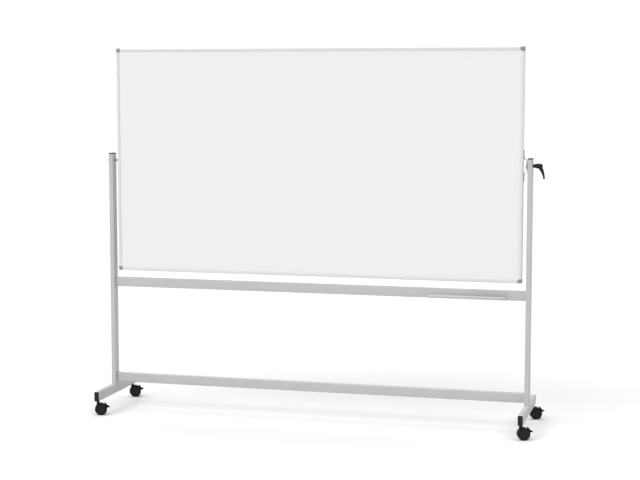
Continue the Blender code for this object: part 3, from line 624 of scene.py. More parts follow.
def socket_bolt(head_radius, head, shank_radius, shank):
    """A button head above height 0 and a shank below it."""
    rise = head - CLEARANCE
    bm = turned([
        *[(head_radius * out, CLEARANCE + rise * up) for out, up in HEAD_CURVE],
        (head_radius * HEAD_SEAT, CLEARANCE),
        (shank_radius, CLEARANCE), (shank_radius, TIP_CHAMFER - shank),
        (shank_radius - TIP_CHAMFER, -shank), (0, -shank),
    ], BOLT_SIDES)
    rim = [e for e in bm.edges if e.is_boundary]
    hexagon = bmesh.ops.create_circle(
        bm, cap_ends=False, segments=6, radius=head_radius * SOCKET_SIZE, matrix=shift(0, 0, head)
    )
    key = list({edge for vert in hexagon["verts"] for edge in vert.link_edges})
    bmesh.ops.bridge_loops(bm, edges=rim + key)
    grown = bmesh.ops.extrude_edge_only(bm, edges=key)
    lower = [v for v in grown["geom"] if isinstance(v, bmesh.types.BMVert)]
    bmesh.ops.translate(bm, vec=(0, 0, -rise * SOCKET_DEPTH), verts=lower)
    bmesh.ops.holes_fill(bm, edges=[e for e in bm.edges if e.is_boundary], sides=6)
    return bm


OUTWARD = {"left": turn(-90, "Y"), "right": turn(90, "Y")}

for side, sign in (("left", -1), ("right", 1)):
    low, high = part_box(f"{side}_column")
    outer_face = high.x if sign > 0 else low.x
    for level, height in zip(("upper", "lower"), bar_heights):
        node = f"{level}_{side}_crossbar_bolt"
        bolt = socket_bolt(BOLT_HEAD_RADIUS, BOLT_HEAD, BOLT_RADIUS, BAR_SHANK)
        bolt = moved(bolt, shift(outer_face, 0, height), OUTWARD[side])
        finish_piece(f"{level}_{side}_socket_bolt", bolt, ZINC, "stand", node)
    foot_low, foot_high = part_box(f"{side}_foot")
    bolt = socket_bolt(BOLT_HEAD_RADIUS, BOLT_HEAD, BOLT_RADIUS, FOOT_SHANK)
    place = shift((foot_low.x + foot_high.x) / 2, 0, foot_low.z)
    bolt = moved(bolt, place, turn(180, "X"))
    finish_piece(f"{side}_long_bolt", bolt, ZINC, "stand", f"{side}_foot_bolt")

low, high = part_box("left_column")
bolt = socket_bolt(PIVOT_HEAD_RADIUS, PIVOT_HEAD, BOLT_RADIUS, PIVOT_SHANK)
bolt = moved(bolt, shift(low.x, 0, pivot.z), OUTWARD["left"])
finish_piece("left_pivot_bolt", bolt, ZINC, "board", "pivot_bolt")

# %% [markdown]
# ## The pen tray
#
# The tray is one strip of sheet, folded four times: a hook over the crossbar, a back, a floor and
# a lip that rolls up and back over the pens. A line of six points is pulled sideways into a sheet,
# each fold is a bevel on the sheet's own edge, and solidify gives the metal its thickness. The
# same helper folds the clamp's bracket later.


# %% Folded sheet metal
def folded(points, width_axis, width, thickness, folds):
    """A strip through these points, its metal on the line's right-hand side."""
    bm = bmesh.new()
    aside = Vector((0, 0, 0))
    aside[width_axis] = width
    line = [bm.verts.new(Vector(point) - aside / 2) for point in points]
    edges = [bm.edges.new(pair) for pair in zip(line, line[1:])]
    grown = bmesh.ops.extrude_edge_only(bm, edges=edges)
    far = [item for item in grown["geom"] if isinstance(item, bmesh.types.BMVert)]
    bmesh.ops.translate(bm, vec=aside, verts=far)
    bm.normal_update()
    start, stop = Vector(points[0]), Vector(points[1])
    first = min(bm.faces, key=lambda f: (f.calc_center_median() - (start + stop) / 2).length)
    if first.normal.dot((stop - start).cross(aside)) < 0:
        bmesh.ops.reverse_faces(bm, faces=bm.faces)
    for number, radius, segments in folds:
        corner = Vector(points[number])
        across = []
        for edge in edges_along(bm, width_axis):
            offset = edge.verts[0].co - corner
            offset[width_axis] = 0
            if offset.length < NEAR:
                across.append(edge)
        round_off(bm, across, radius, segments)
    bmesh.ops.solidify(bm, geom=list(bm.faces), thickness=-thickness)
    return bm


CUT_EDGE = 0.0003


def deburred(bm, degrees=50):
    """Sheet metal with its cut edges broken."""
    round_off(bm, corner_edges(bm, degrees), CUT_EDGE, 2)
    return bm


TRAY_SHEET = 0.0018
TRAY_LIP = 0.017
TRAY_LIP_RETURN = 0.009
TRAY_LIP_ROLL = 0.0082
TRAY_BEND = 0.0006
TRAY_FOLDS = [
    (1, TRAY_BEND, 3), (2, TRAY_SHEET + TRAY_BEND, 4),
    (3, TRAY_LIP_ROLL, 10), (4, TRAY_LIP_ROLL, 10),
]
low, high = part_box("pen_tray")
crossbar_low, crossbar_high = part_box("upper_crossbar")
back = crossbar_low.y - CLEARANCE
hook_line = high.z - TRAY_SHEET
lip_top = low.z + TRAY_LIP
tray_middle = (low.x + high.x) / 2
tray_line = [
    (tray_middle, high.y, hook_line), (tray_middle, back, hook_line),
    (tray_middle, back, low.z), (tray_middle, low.y, low.z),
    (tray_middle, low.y, lip_top), (tray_middle, low.y + TRAY_LIP_RETURN, lip_top),
]
tray = folded(tray_line, 0, high.x - low.x, TRAY_SHEET, TRAY_FOLDS)
finish_piece("folded_pen_tray", deburred(tray), SILVER_PAINT, "stand", "pen_tray")

# %% [markdown]
# ## The board's frame
#
# The rail is a C profile: an outer wall with rounded edges and two lips that hold the sheets. Its
# outline is eight points, which are filled and pulled to the rail's length. Then the two outer
# edges are rounded with a large radius and the lips with a very small one, because a sharp lip
# would show no highlight. One function makes all four rails, turned about the board's middle.

# %% Rails
RAIL_FACE = 0.016
RAIL_WEB = 0.003
RAIL_LIP = 0.002
RAIL_ROUNDING = 0.0045
LIP_ROUNDING = 0.0005

board_low, board_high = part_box("frame_top_rail")
HALF_DEPTH = board_high.y
HALF_HEIGHT = board_high.z - pivot.z
HALF_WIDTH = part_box("frame_right_rail")[1].x
SLOT_HALF = HALF_DEPTH - RAIL_LIP


def rail(length):
    """A rail along Z whose outer wall ends at X = 0."""
    bm = bmesh.new()
    outline = [
        (0, -HALF_DEPTH), (0, HALF_DEPTH), (-RAIL_FACE, HALF_DEPTH), (-RAIL_FACE, SLOT_HALF),
        (-RAIL_WEB, SLOT_HALF), (-RAIL_WEB, -SLOT_HALF), (-RAIL_FACE, -SLOT_HALF),
        (-RAIL_FACE, -HALF_DEPTH),
    ]
    face = bm.faces.new([bm.verts.new((x, y, -length / 2)) for x, y in outline])
    grown = bmesh.ops.extrude_face_region(bm, geom=[face])
    upper = [v for v in grown["geom"] if isinstance(v, bmesh.types.BMVert)]
    bmesh.ops.translate(bm, vec=(0, 0, length), verts=upper)
    outer = [e for e in edges_along(bm, 2) if middle_of(e).x > -NEAR]
    round_off(bm, outer, RAIL_ROUNDING, 8)
    lips = [e for e in edges_along(bm, 2) if abs(middle_of(e).x + RAIL_FACE) < NEAR]
    round_off(bm, lips, LIP_ROUNDING, 3)
    return bm


RAILS = {
    "top": (-90, 0, HALF_HEIGHT, "x"), "bottom": (90, 0, -HALF_HEIGHT, "x"),
    "right": (0, HALF_WIDTH, 0, "z"), "left": (180, -HALF_WIDTH, 0, "z"),
}
for name, (degrees, x, z, direction) in RAILS.items():
    low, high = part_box(f"frame_{name}_rail")
    length = (high - low)[{"x": 0, "z": 2}[direction]]
    profile = moved(rail(length), shift(x, 0, pivot.z + z), turn(degrees, "Y"))
    node = f"frame_{name}_rail"
    finish_piece(f"{name}_extruded_rail", profile, ANODISED[direction], "board", node)

# %% [markdown]
# ## The corners
#
# A grey moulded corner covers each end of the rails. It is a square block with three rounded outer
# edges, one cut-off inner edge, and a pocket that takes the sheets. The rounding where three edges
# meet is a piece of a sphere, which a bevel makes by itself when all the edges go in one call.

# %% Corners
CORNER_SIZE = 0.022
CORNER_CHAMFER = 0.007
PAST = 0.004


def board_corner():
    """The upper right corner, whose outermost point is at X = 0 and Z = 0."""
    bm = block((-CORNER_SIZE, -HALF_DEPTH, -CORNER_SIZE), (0, HALF_DEPTH, 0))
    inner = [
        e for e in edges_along(bm, 1)
        if middle_of(e).x < -CORNER_SIZE / 2 and middle_of(e).z < -CORNER_SIZE / 2
    ]
    round_off(bm, inner, CORNER_CHAMFER, 1)
    outer = []
    for edge in bm.edges:
        middle = middle_of(edge)
        at_side, at_top = middle.x > -NEAR, middle.z > -NEAR
        at_face = abs(middle.y) > HALF_DEPTH - NEAR
        if (at_side or at_top) and (at_face or (at_side and at_top)):
            outer.append(edge)
    round_off(bm, outer, RAIL_ROUNDING, 8)
    rims = [
        e for e in corner_edges(bm, 40)
        if abs(abs(middle_of(e).y) - HALF_DEPTH) < NEAR
    ]
    round_off(bm, rims, 0.0004, 2)
    pocket = block(
        (-CORNER_SIZE - PAST, -SLOT_HALF, -CORNER_SIZE - PAST), (-RAIL_WEB, SLOT_HALF, -RAIL_WEB)
    )
    return combined(bm, ("DIFFERENCE", pocket))


CORNERS = {
    "top_right": (0, HALF_WIDTH, HALF_HEIGHT), "bottom_right": (90, HALF_WIDTH, -HALF_HEIGHT),
    "bottom_left": (180, -HALF_WIDTH, -HALF_HEIGHT), "top_left": (-90, -HALF_WIDTH, HALF_HEIGHT),
}
for name, (degrees, x, z) in CORNERS.items():
    corner = moved(board_corner(), shift(x, 0, pivot.z + z), turn(degrees, "Y"))
    finish_piece(f"{name}_moulded_corner", corner, GREY_PLASTIC, "board", f"frame_{name}_corner")

# %% [markdown]
# ## Sheets and core keep their CAD shape
#
# The writing sheets are flat plates and the core is a lattice, so nothing in their shape needs
# refining. They only get their finishes.

# %% Sheets and core
for name, material in (
    ("front_writing_sheet", ENAMEL), ("rear_writing_sheet", ENAMEL), ("board_core", CORE_BOARD),
):
    frame["nodes"][name].data.materials.clear()
    frame["nodes"][name].data.materials.append(material)
    print(name, "is finished in", material.name)

# %% [markdown]
# ## The clamp's bracket
#
# At the right the board hangs on a folded bracket: two flanges on the rail, with two screws each,
# and a raised middle with a hole for the spindle. The folds are tighter than the tray's, because
# the steel is stiff. The screws are the bolts from above in a smaller size.

# %% Bracket and screws
BRACKET_SHEET = 0.0025
BRACKET_SHOULDER = 0.038
BRACKET_PLATEAU = 0.024
SCREW_HEIGHTS = (0.073, 0.043, -0.043, -0.073)
FOLD = (0.0030, 4)
SHARP_FOLD = (0.0006, 2)
BRACKET_FOLDS = [(1, *SHARP_FOLD), (2, *FOLD), (3, *FOLD), (4, *SHARP_FOLD)]
BRACKET_HOLE_REACH = 0.01
SCREW_HEAD_RADIUS, SCREW_HEAD = 0.0042, 0.0026
SCREW_RADIUS, SCREW_SHANK = 0.002, 0.0058

low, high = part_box("clamp_bracket")
half = (high.z - low.z) / 2
back, raised = low.x, high.x - BRACKET_SHEET
bracket_line = [
    (back, 0, half), (back, 0, BRACKET_SHOULDER), (raised, 0, BRACKET_PLATEAU),
    (raised, 0, -BRACKET_PLATEAU), (back, 0, -BRACKET_SHOULDER), (back, 0, -half),
]
bracket = folded(bracket_line, 1, high.y - low.y, BRACKET_SHEET, BRACKET_FOLDS)
spindle_hole = bore((raised, 0, 0), 0, SPINDLE_HOLE, BRACKET_HOLE_REACH)
bracket = combined(bracket, ("DIFFERENCE", spindle_hole))
bracket = moved(deburred(bracket, 60), shift(0, 0, pivot.z))
finish_piece("folded_clamp_bracket", bracket, ZINC, "board", "clamp_bracket")

for number, height in enumerate(SCREW_HEIGHTS, start=1):
    place = shift(back + BRACKET_SHEET, 0, pivot.z + height)
    screw = socket_bolt(SCREW_HEAD_RADIUS, SCREW_HEAD, SCREW_RADIUS, SCREW_SHANK)
    screw = moved(screw, place, turn(90, "Y"))
    node = f"bracket_screw_{number}"
    finish_piece(f"bracket_socket_screw_{number}", screw, ZINC, "board", node)

# %% [markdown]
# ## Spindle, washer and insert
#
# The spindle's wide round head sits inside the bracket and its thread goes out through the column
# into the lever. A thin black washer between bracket and column gives the friction that holds the
# board. At the left, a flanged insert in the rail takes the pivot bolt. All three are turned.

# %% Spindle, washer and insert
SPINDLE_RADIUS = 0.005
SPINDLE_HEAD_RADIUS = 0.0165
HEAD_EDGE = [(0.0015, 0), (0.0005, 0.0004), (0, 0.0014)]
HEAD_BACK_EDGE = [(0, 0.0005), (0.0004, 0)]
inner_face = high.x - BRACKET_SHEET
spindle_low, spindle_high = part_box("clamp_spindle")
spindle_reach = spindle_high.x - inner_face
spindle_head = inner_face - spindle_low.x
spindle = turned([
    (0, spindle_head),
    *[(SPINDLE_HEAD_RADIUS - inward, spindle_head - down) for inward, down in HEAD_EDGE],
    *[(SPINDLE_HEAD_RADIUS - inward, CLEARANCE + up) for inward, up in HEAD_BACK_EDGE],
    (SPINDLE_RADIUS, CLEARANCE), (SPINDLE_RADIUS, TIP_CHAMFER - spindle_reach),
    (SPINDLE_RADIUS - TIP_CHAMFER, -spindle_reach), (0, -spindle_reach),
], 48)
spindle = moved(spindle, shift(inner_face, 0, pivot.z), turn(-90, "Y"))
finish_piece("turned_spindle", spindle, ZINC, "board", "clamp_spindle")

WASHER_RADIUS = 0.0160
WASHER_EDGE = 0.0003
WASHER_HOLE_EDGE = 0.0002
washer_low, washer_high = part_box("friction_washer")
thick = washer_high.x - washer_low.x
washer = turned([
    (SPINDLE_HOLE, WASHER_HOLE_EDGE), (SPINDLE_HOLE, thick - WASHER_HOLE_EDGE),
    (SPINDLE_HOLE + WASHER_HOLE_EDGE, thick), (WASHER_RADIUS - WASHER_EDGE, thick),
    (WASHER_RADIUS, thick - WASHER_EDGE), (WASHER_RADIUS, WASHER_EDGE),
    (WASHER_RADIUS - WASHER_EDGE, 0), (SPINDLE_HOLE + WASHER_HOLE_EDGE, 0),
    (SPINDLE_HOLE, WASHER_HOLE_EDGE),
], 64)
washer = moved(washer, shift(washer_low.x, 0, pivot.z), turn(90, "Y"))
finish_piece("thin_friction_washer", washer, BLACK_PLASTIC, "board", "friction_washer")

FLANGE_RADIUS = 0.0070
BARREL_RADIUS = 0.0060
FLANGE_EDGE = 0.0004
FLANGE_FACE_EDGE = [(0.0008, 0), (0.0002, 0.0003), (0, 0.0009)]
insert_low, insert_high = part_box("pivot_insert")
flange_face = insert_low.x
barrel_end = insert_high.x - flange_face
rail_side = -HALF_WIDTH - CLEARANCE - flange_face
insert = turned([
    (PIVOT_HOLE, -barrel_end), (PIVOT_HOLE, 0),
    *[(FLANGE_RADIUS - inward, -down) for inward, down in FLANGE_FACE_EDGE],
    (FLANGE_RADIUS, FLANGE_EDGE - rail_side), (FLANGE_RADIUS - FLANGE_EDGE, -rail_side),
    (BARREL_RADIUS, -rail_side), (BARREL_RADIUS, -barrel_end), (PIVOT_HOLE, -barrel_end),
], 48)
insert = moved(insert, shift(flange_face, 0, pivot.z), turn(-90, "Y"))
finish_piece("flanged_pivot_insert", insert, ZINC, "board", "pivot_insert")

# %% [markdown]
# ## The clamping lever
#
# The lever is one plastic moulding: a collar, a hub with a chamfered end, an arm that sweeps down
# and thins, and a small ball to pull on. A skeleton of simple shapes gives the form: a turned hub
# and a ring that is extruded along the arm, station by station. A real moulding has soft fillets
# where they meet. Remeshing the joined shapes in fine voxels and relaxing them gives those fillets.

# %% Clamping lever
LEVER_HUB_PROFILE = [
    (0, 0.0500), (0.0022, 0.0500), (0.0034, 0.0496), (0.0117, 0.0437), (0.0122, 0.0425),
    (0.0122, 0.0138), (0.0118, 0.0130), (0.0090, 0.0120), (0.0090, 0.0003), (0.0087, 0),
    (0.0053, 0), (0.0053, 0.0243), (0, 0.0243),
]
LEVER_STATIONS = [
    (0.0300, 0.0000, 0.0112, 0.0100), (0.0390, -0.0110, 0.0103, 0.0094),
    (0.0440, -0.0205, 0.0090, 0.0084), (0.0485, -0.0310, 0.0076, 0.0073),
    (0.0525, -0.0420, 0.0062, 0.0061), (0.0552, -0.0530, 0.0049, 0.0050),
    (0.0557, -0.0600, 0.0044, 0.0044),
]
LEVER_BALL = (0.0555, -0.0622, 0.0052)
LEVER_VOXEL = 0.0006
LEVER_RELAX = 6


def lever_arm():
    """A ring extruded through the stations: out, up, radius in the bend's plane, half width."""
    bm = bmesh.new()
    ring = bmesh.ops.create_circle(bm, cap_ends=True, segments=24, radius=1.0)["verts"]
    place_ring(bm, ring, LEVER_STATIONS, 0)
    for number in range(1, len(LEVER_STATIONS)):
        loop = [e for e in bm.edges if all(v in ring for v in e.verts)]
        grown = bmesh.ops.extrude_edge_only(bm, edges=loop)
        fresh = [v for v in grown["geom"] if isinstance(v, bmesh.types.BMVert)]
        unplace_ring(bm, fresh, LEVER_STATIONS, number - 1)
        place_ring(bm, fresh, LEVER_STATIONS, number)
        ring = fresh
    bmesh.ops.holes_fill(bm, edges=[e for e in bm.edges if e.is_boundary], sides=24)
    bmesh.ops.recalc_face_normals(bm, faces=bm.faces)
    return bm


def ring_matrix(stations, number):
    """Where a unit ring goes: across the arm's direction, scaled to the station's radii."""
    out, up, radius, width = stations[number]
    before = stations[max(number - 1, 0)]
    after = stations[min(number + 1, len(stations) - 1)]
    angle = math.atan2(after[0] - before[0], after[1] - before[1])
    scaled = Matrix.Diagonal((radius, width, 1, 1))
    return shift(out, 0, up) @ Matrix.Rotation(angle, 4, "Y") @ scaled


def place_ring(bm, ring, stations, number):
    bmesh.ops.transform(bm, matrix=ring_matrix(stations, number), verts=ring)


def unplace_ring(bm, ring, stations, number):
    bmesh.ops.transform(bm, matrix=ring_matrix(stations, number).inverted(), verts=ring)


def remeshed(bm, voxel, relax):
    """The closed outer skin of the joined shapes, with soft fillets."""
    helper = as_helper(bm)
    skin = helper.modifiers.new("skin", "REMESH")
    skin.mode = "VOXEL"
    skin.voxel_size = voxel
    graph = bpy.context.evaluated_depsgraph_get()
    mesh = bpy.data.meshes.new_from_object(helper.evaluated_get(graph))
    result = bmesh.new()
    result.from_mesh(mesh)
    bpy.data.meshes.remove(mesh)
    helper_mesh = helper.data
    bpy.data.objects.remove(helper)
    bpy.data.meshes.remove(helper_mesh)
    for _ in range(relax):
        bmesh.ops.smooth_vert(
            result, verts=result.verts, factor=0.5,
            use_axis_x=True, use_axis_y=True, use_axis_z=True,
        )
    return result


ball = bmesh.new()
bmesh.ops.create_uvsphere(ball, u_segments=24, v_segments=16, radius=LEVER_BALL[2])
ball = moved(ball, shift(LEVER_BALL[0], 0, LEVER_BALL[1]))
hub = moved(turned(LEVER_HUB_PROFILE, 64), turn(90, "Y"))
skeleton = combined(hub, ("UNION", lever_arm()), ("UNION", ball))
lever_low, lever_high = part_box("clamp_lever")
lever = moved(
    remeshed(skeleton, LEVER_VOXEL, LEVER_RELAX), shift(lever_low.x, 0, pivot.z)
)
finish_piece("moulded_clamp_lever", lever, BLACK_FACE, "clamp_lever", "clamp_lever", sharp=60)

# %% [markdown]
# ## Twin-wheel casters
#
# Each caster has a hood that turns on a stem, two thin wheels on one axle, and a foot lever that
# brakes them. One caster is described along its own trail, with its stem at X = 0 and Y = 0, and
# then turned to the angle at which the four of them stand. First come the places that all its
# pieces share, and the joints say where they are.

# %% Places on a caster
JOINT_AT = {joint["name"]: Vector(joint["pos_m"]) for joint in frame["joints"]}
CASTER_TURN = 22
WHEEL_RADIUS = 0.031
WHEEL_SPACING = 0.0115
TRAIL = 0.016
AXLE_RADIUS = 0.004
AXLE_GRIP = 0.009
FOOT_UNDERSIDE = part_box("left_foot")[0].z
HOOD_RADIUS = 0.0333
HOOD_HALF = 0.01725
HOOD_LOW = 0.019
HOOD_NOTCH = 0.0115
WEB_HALF = 0.00525
WELL_RADIUS = 0.0317
BRAKE_PIN = (0.007, 0.020)

CASTERS = [f"{end}_{side}_caster" for end in ("front", "rear") for side in ("left", "right")]


def caster_place(caster):
    stem = JOINT_AT[caster + "_swivel"]
    return shift(stem.x, stem.y, 0) @ turn(CASTER_TURN, "Z")


def polar(radius, degrees):
    """A point round the axle: along the trail, and up."""
    angle = math.radians(degrees)
    return (radius * math.cos(angle), radius * math.sin(angle))


print("casters stand at", [tuple(round(v, 4) for v in JOINT_AT[c + "_swivel"]) for c in CASTERS])

# %% [markdown]
# ### Wheels
#
# A wheel is a hard disc with a softer tread moulded round it. Its section is one line of points,
# from the middle of the outer face to the blind bore at the inner face, spun about the axle. A
# groove parts the tread from the disc, and the faces beyond it get the tread's finish.

# %% Wheels
TREAD_FROM = 0.0254
WHEEL_SECTION = [
    (0, 0.0112), (0.0036, 0.0112), (0.0041, 0.0109), (0.0043, 0.0104), (0.0052, 0.0104),
    (0.0057, 0.0107), (0.0063, 0.0110), (0.0140, 0.0115), (0.0238, 0.0112), (0.0246, 0.0109),
    (0.0250, 0.0103), (0.0253, 0.0102), (0.0257, 0.0104), (0.0261, 0.0113), (0.0268, 0.0119),
    (0.0276, 0.0120), (0.0288, 0.0119), (0.0300, 0.0114), (0.0307, 0.0105), (0.0310, 0.0092),
    (0.0310, 0.0060), (0.0310, 0.0028), (0.0307, 0.0015), (0.0300, 0.0006), (0.0288, 0.0001),
    (0.0270, 0.0000), (0.0262, 0.0002), (0.0257, 0.0009), (0.0080, 0.0009), (0.0074, 0.0002),
    (0.0070, 0.0000), (0.0046, 0.0000), (0.0043, 0.0003), (0.0043, 0.0093), (0, 0.0093),
]


def caster_wheel():
    """A wheel about Z, its inner face at height 0."""
    bm = turned(WHEEL_SECTION, 72)
    for face in bm.faces:
        middle = face.calc_center_median()
        if math.hypot(middle.x, middle.y) > TREAD_FROM:
            face.material_index = 1
    return bm


for caster in CASTERS:
    for end, way in (("front", -1), ("rear", 1)):
        on_axle = shift(TRAIL, way * WHEEL_SPACING / 2, WHEEL_RADIUS) @ turn(-90 * way, "X")
        wheel = moved(caster_wheel(), caster_place(caster), on_axle)
        body = f"{caster}_{end}_wheel"
        finish_piece(f"{caster}_{end}_disc", wheel, [BLACK_FACE, WHEEL_TREAD], body, body, sharp=40)

# %% [markdown]
# ### Hoods
#
# The hood is a web between the wheels and a thin fender over them, with a boss for the stem. It
# starts as a drum as wide as both wheels. The boss and stem are joined on, and the wells, the open
# lower part, the gap for the brake and the axle's hole are cut out. Remeshing then rounds every
# edge slightly, as a mould does.

# %% Hoods
BOSS_RADIUS = 0.0085
STEM_RADIUS = 0.0055
STEM_LENGTH = 0.030
SWIVEL_GAP = 0.0005
BOSS_EDGE = 0.0006
HOOD_EDGE = 0.0008
WELL_HALF = 0.010
EAR_GAP_HALF = 0.0033
EAR_GAP_BELOW, EAR_GAP_ABOVE = 0.0048, 0.0068
BRAKE_PIN_HOLE = 0.0021
FAR = 0.08
HOOD_VOXEL = 0.0006
HOOD_RELAX = 3


def caster_hood():
    drum = turned([
        (0, HOOD_HALF), (HOOD_RADIUS - HOOD_EDGE, HOOD_HALF), (HOOD_RADIUS, HOOD_HALF - HOOD_EDGE),
        (HOOD_RADIUS, HOOD_EDGE - HOOD_HALF), (HOOD_RADIUS - HOOD_EDGE, -HOOD_HALF),
        (0, -HOOD_HALF),
    ], 96)
    drum = moved(drum, shift(TRAIL, 0, WHEEL_RADIUS), turn(90, "X"))
    boss_top = FOOT_UNDERSIDE - SWIVEL_GAP
    boss = turned([
        (0, boss_top), (BOSS_RADIUS - BOSS_EDGE, boss_top), (BOSS_RADIUS, boss_top - BOSS_EDGE),
        (BOSS_RADIUS, WHEEL_RADIUS), (0, WHEEL_RADIUS),
    ], 48)
    stem = turned([
        (0, FOOT_UNDERSIDE + STEM_LENGTH), (STEM_RADIUS, FOOT_UNDERSIDE + STEM_LENGTH),
        (STEM_RADIUS, HOOD_RADIUS), (0, HOOD_RADIUS),
    ], 32)
    steps = [("UNION", boss), ("UNION", stem)]
    for way in (-1, 1):
        well_middle = (TRAIL, way * (WEB_HALF + WELL_HALF), WHEEL_RADIUS)
        steps.append(("DIFFERENCE", bore(well_middle, 1, WELL_RADIUS, WELL_HALF)))
    notch = TRAIL + HOOD_NOTCH
    pin_x, pin_z = TRAIL + BRAKE_PIN[0], WHEEL_RADIUS + BRAKE_PIN[1]
    ear_gap = block(
        (pin_x - EAR_GAP_BELOW, -EAR_GAP_HALF, pin_z - EAR_GAP_BELOW),
        (notch + EAR_GAP_ABOVE, EAR_GAP_HALF, pin_z + EAR_GAP_ABOVE),
    )
    cutters = [
        block((-FAR, -FAR, -FAR), (FAR, FAR, HOOD_LOW)),
        block((notch, -FAR, -FAR), (FAR, FAR, FAR)),
        bore((TRAIL, 0, WHEEL_RADIUS), 1, AXLE_RADIUS + CLEARANCE, HOOD_HALF),
        ear_gap,
        bore((pin_x, 0, pin_z), 1, BRAKE_PIN_HOLE, HOOD_HALF),
    ]
    steps += [("DIFFERENCE", cutter) for cutter in cutters]
    return remeshed(combined(drum, *steps), HOOD_VOXEL, HOOD_RELAX)


hood = caster_hood()
for caster in CASTERS:
    placed = moved(hood.copy(), caster_place(caster))
    finish_piece(f"{caster}_shell", placed, BLACK_PLASTIC, caster, caster + "_hood", sharp=60)
hood.free()

AXLE_EDGE = 0.0006
axle_half = WHEEL_SPACING / 2 + AXLE_GRIP
for caster in CASTERS:
    axle = turned([
        (0, axle_half), (AXLE_RADIUS - AXLE_EDGE, axle_half), (AXLE_RADIUS, axle_half - AXLE_EDGE),
        (AXLE_RADIUS, AXLE_EDGE - axle_half), (AXLE_RADIUS - AXLE_EDGE, -axle_half), (0, -axle_half),
    ], 32)
    on_axle = shift(TRAIL, 0, WHEEL_RADIUS) @ turn(90, "X")
    axle = moved(axle, caster_place(caster), on_axle)
    finish_piece(f"{caster}_pin", axle, ZINC, caster, caster + "_axle")

# %% [markdown]
# ### Brake levers
#
# The foot lever is a crescent over the wheels with a horn at its top and a tab that the shoe
# pushes down. Between the wheels a thin ear reaches back to the pin it turns on. Crescent and ear
# are flat outlines, pulled to their widths. Small bars across the tab keep the shoe from slipping.

# %% Brake levers
BRAKE_HALF = 0.011
EAR_HALF = 0.003
BRAKE_INNER = WHEEL_RADIUS + 0.0033
BRAKE_OUTLINE = [
    *[polar(BRAKE_INNER, angle) for angle in range(13, 62, 3)],
    polar(WHEEL_RADIUS + 0.0100, 60), polar(WHEEL_RADIUS + 0.0092, 55),
    polar(WHEEL_RADIUS + 0.0080, 29), (WHEEL_RADIUS + 0.0145, 0.0140),
    (WHEEL_RADIUS + 0.0150, 0.0116), polar(WHEEL_RADIUS + 0.0060, 15),
]
EAR_EYE = 0.0036
EAR_NECK = HOOD_NOTCH + 0.002
EAR_OUTLINE = [
    (EAR_NECK, BRAKE_PIN[1] + EAR_EYE), *[polar(BRAKE_INNER + 0.0015, a) for a in (58, 45, 30, 15)],
    polar(BRAKE_INNER - 0.004, 10), (EAR_NECK, BRAKE_PIN[1] - EAR_EYE),
    (BRAKE_PIN[0], BRAKE_PIN[1] - EAR_EYE), (BRAKE_PIN[0], BRAKE_PIN[1] + EAR_EYE),
]
RIB_STEPS = (0.20, 0.45, 0.70)
RIB_RADIUS = 0.0007
RIB_INSET = 0.002
BRAKE_PIN_RADIUS = 0.0018
BRAKE_VOXEL = 0.0005
BRAKE_RELAX = 2


def slab(outline, half):
    """An outline of (along, up) points, filled and pulled to a width along Y."""
    bm = bmesh.new()
    face = bm.faces.new([bm.verts.new((x, -half, z)) for x, z in outline])
    grown = bmesh.ops.extrude_face_region(bm, geom=[face])
    far = [v for v in grown["geom"] if isinstance(v, bmesh.types.BMVert)]
    bmesh.ops.translate(bm, vec=(0, 2 * half, 0), verts=far)
    bmesh.ops.recalc_face_normals(bm, faces=bm.faces)
    return bm


def brake_lever():
    """The lever about the axle: the trail along X, the axle along Y."""
    pin = (BRAKE_PIN[0], 0, BRAKE_PIN[1])
    steps = [
        ("UNION", slab(EAR_OUTLINE, EAR_HALF)),
        ("UNION", bore(pin, 1, EAR_EYE + CLEARANCE, EAR_HALF - CLEARANCE)),
        ("UNION", bore(pin, 1, BRAKE_PIN_RADIUS, WEB_HALF - CLEARANCE)),
    ]
    shoulder, tip = Vector(BRAKE_OUTLINE[-4]), Vector(BRAKE_OUTLINE[-3])
    for share in RIB_STEPS:
        at = shoulder.lerp(tip, share)
        rib = bore((at.x, 0, at.y), 1, RIB_RADIUS, BRAKE_HALF - RIB_INSET)
        steps.append(("UNION", rib))
    whole = combined(slab(BRAKE_OUTLINE, BRAKE_HALF), *steps)
    return remeshed(whole, BRAKE_VOXEL, BRAKE_RELAX)


lever = brake_lever()
for caster in CASTERS:
    placed = moved(lever.copy(), caster_place(caster), shift(TRAIL, 0, WHEEL_RADIUS))
    body = caster + "_brake"
    finish_piece(f"{caster}_foot_lever", placed, BLACK_PLASTIC, body, body, sharp=60)
lever.free()

# %% [markdown]
# ## Floor and light
#
# The object stands on a plain pale floor. The light is that of a white studio. Two sun lamps with
# a wide spread stand in for large soft panels, one overhead and one in front and to the left. The
# surroundings are pale and brightest at the horizon. They alone light the back, so it is darker
# than the front, and the tops are the brightest.

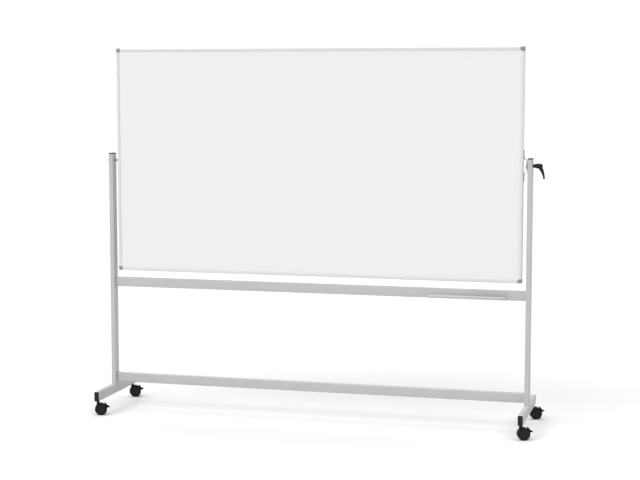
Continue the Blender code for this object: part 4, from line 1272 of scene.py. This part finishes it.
# %% Floor
FLOOR_HALF = 40
floor_mesh = bmesh.new()
bmesh.ops.create_grid(floor_mesh, x_segments=1, y_segments=1, size=FLOOR_HALF)
mesh = bpy.data.meshes.new("studio_floor")
floor_mesh.to_mesh(mesh)
floor_mesh.free()
floor = bpy.data.objects.new("studio_floor", mesh)
bpy.context.scene.collection.objects.link(floor)

FLOOR_PALE = 0.66
material, tree, shader = new_finish("pale_floor", "floor", Specular_IOR_Level=0.15)
patches = grain(tree, (0.6, 0.6, 0.6), 2.0)
tint = ramp(tree, patches, 0.3, 0.7, (FLOOR_PALE,) * 3, (FLOOR_PALE * 1.01,) * 3)
feed(tree, shader, Base_Color=tint, Roughness=spread(tree, patches, 0.80, 0.86))
mesh.materials.append(material)
floor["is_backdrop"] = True
print("floor is", 2 * FLOOR_HALF, "m wide")

# %% Light
SKY_LEVEL = 0.05
HORIZON_LEVEL = 1.02
HORIZON_FROM, HORIZON_TO = 0.10, 0.30

world = bpy.data.worlds.new("studio")
bpy.context.scene.world = world
world.use_nodes = True
tree = world.node_tree
direction = add_node(tree, "TexCoord").outputs["Generated"]
height = add_node(tree, "SeparateXYZ", {"Vector": direction}).outputs["Z"]
away = add_node(tree, "Math", {0: height}, operation="ABSOLUTE").outputs["Value"]
level = add_node(tree, "MapRange", {
    "Value": away, "From Min": HORIZON_FROM, "From Max": HORIZON_TO,
    "To Min": HORIZON_LEVEL, "To Max": SKY_LEVEL,
}, interpolation_type="SMOOTHSTEP").outputs["Result"]
background = tree.nodes["Background"]
background.inputs["Color"].default_value = (1, 1, 1, 1)
tree.links.new(level, background.inputs["Strength"])


def sun(name, heading, spread_degrees, strength):
    """Even soft light that comes from one side, as from a large distant panel."""
    data = bpy.data.lights.new(name, "SUN")
    data.angle = math.radians(spread_degrees)
    data.energy = strength
    lamp = bpy.data.objects.new(name, data)
    bpy.context.scene.collection.objects.link(lamp)
    lamp.rotation_euler = (-Vector(heading)).to_track_quat("Z", "Y").to_euler()


sun("overhead_light", (0, 0.1, -1), 100, 4.4)
sun("front_light", (1, 1, -0.9), 40, 1.15)
bpy.context.scene.view_settings.view_transform = "Standard"

# %% [markdown]
# ## Sizes
#
# The box that holds the finished object, without the floor, is measured. The finished
# object has to stay inside the CAD model's box.

# %% Sizes
low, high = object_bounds()
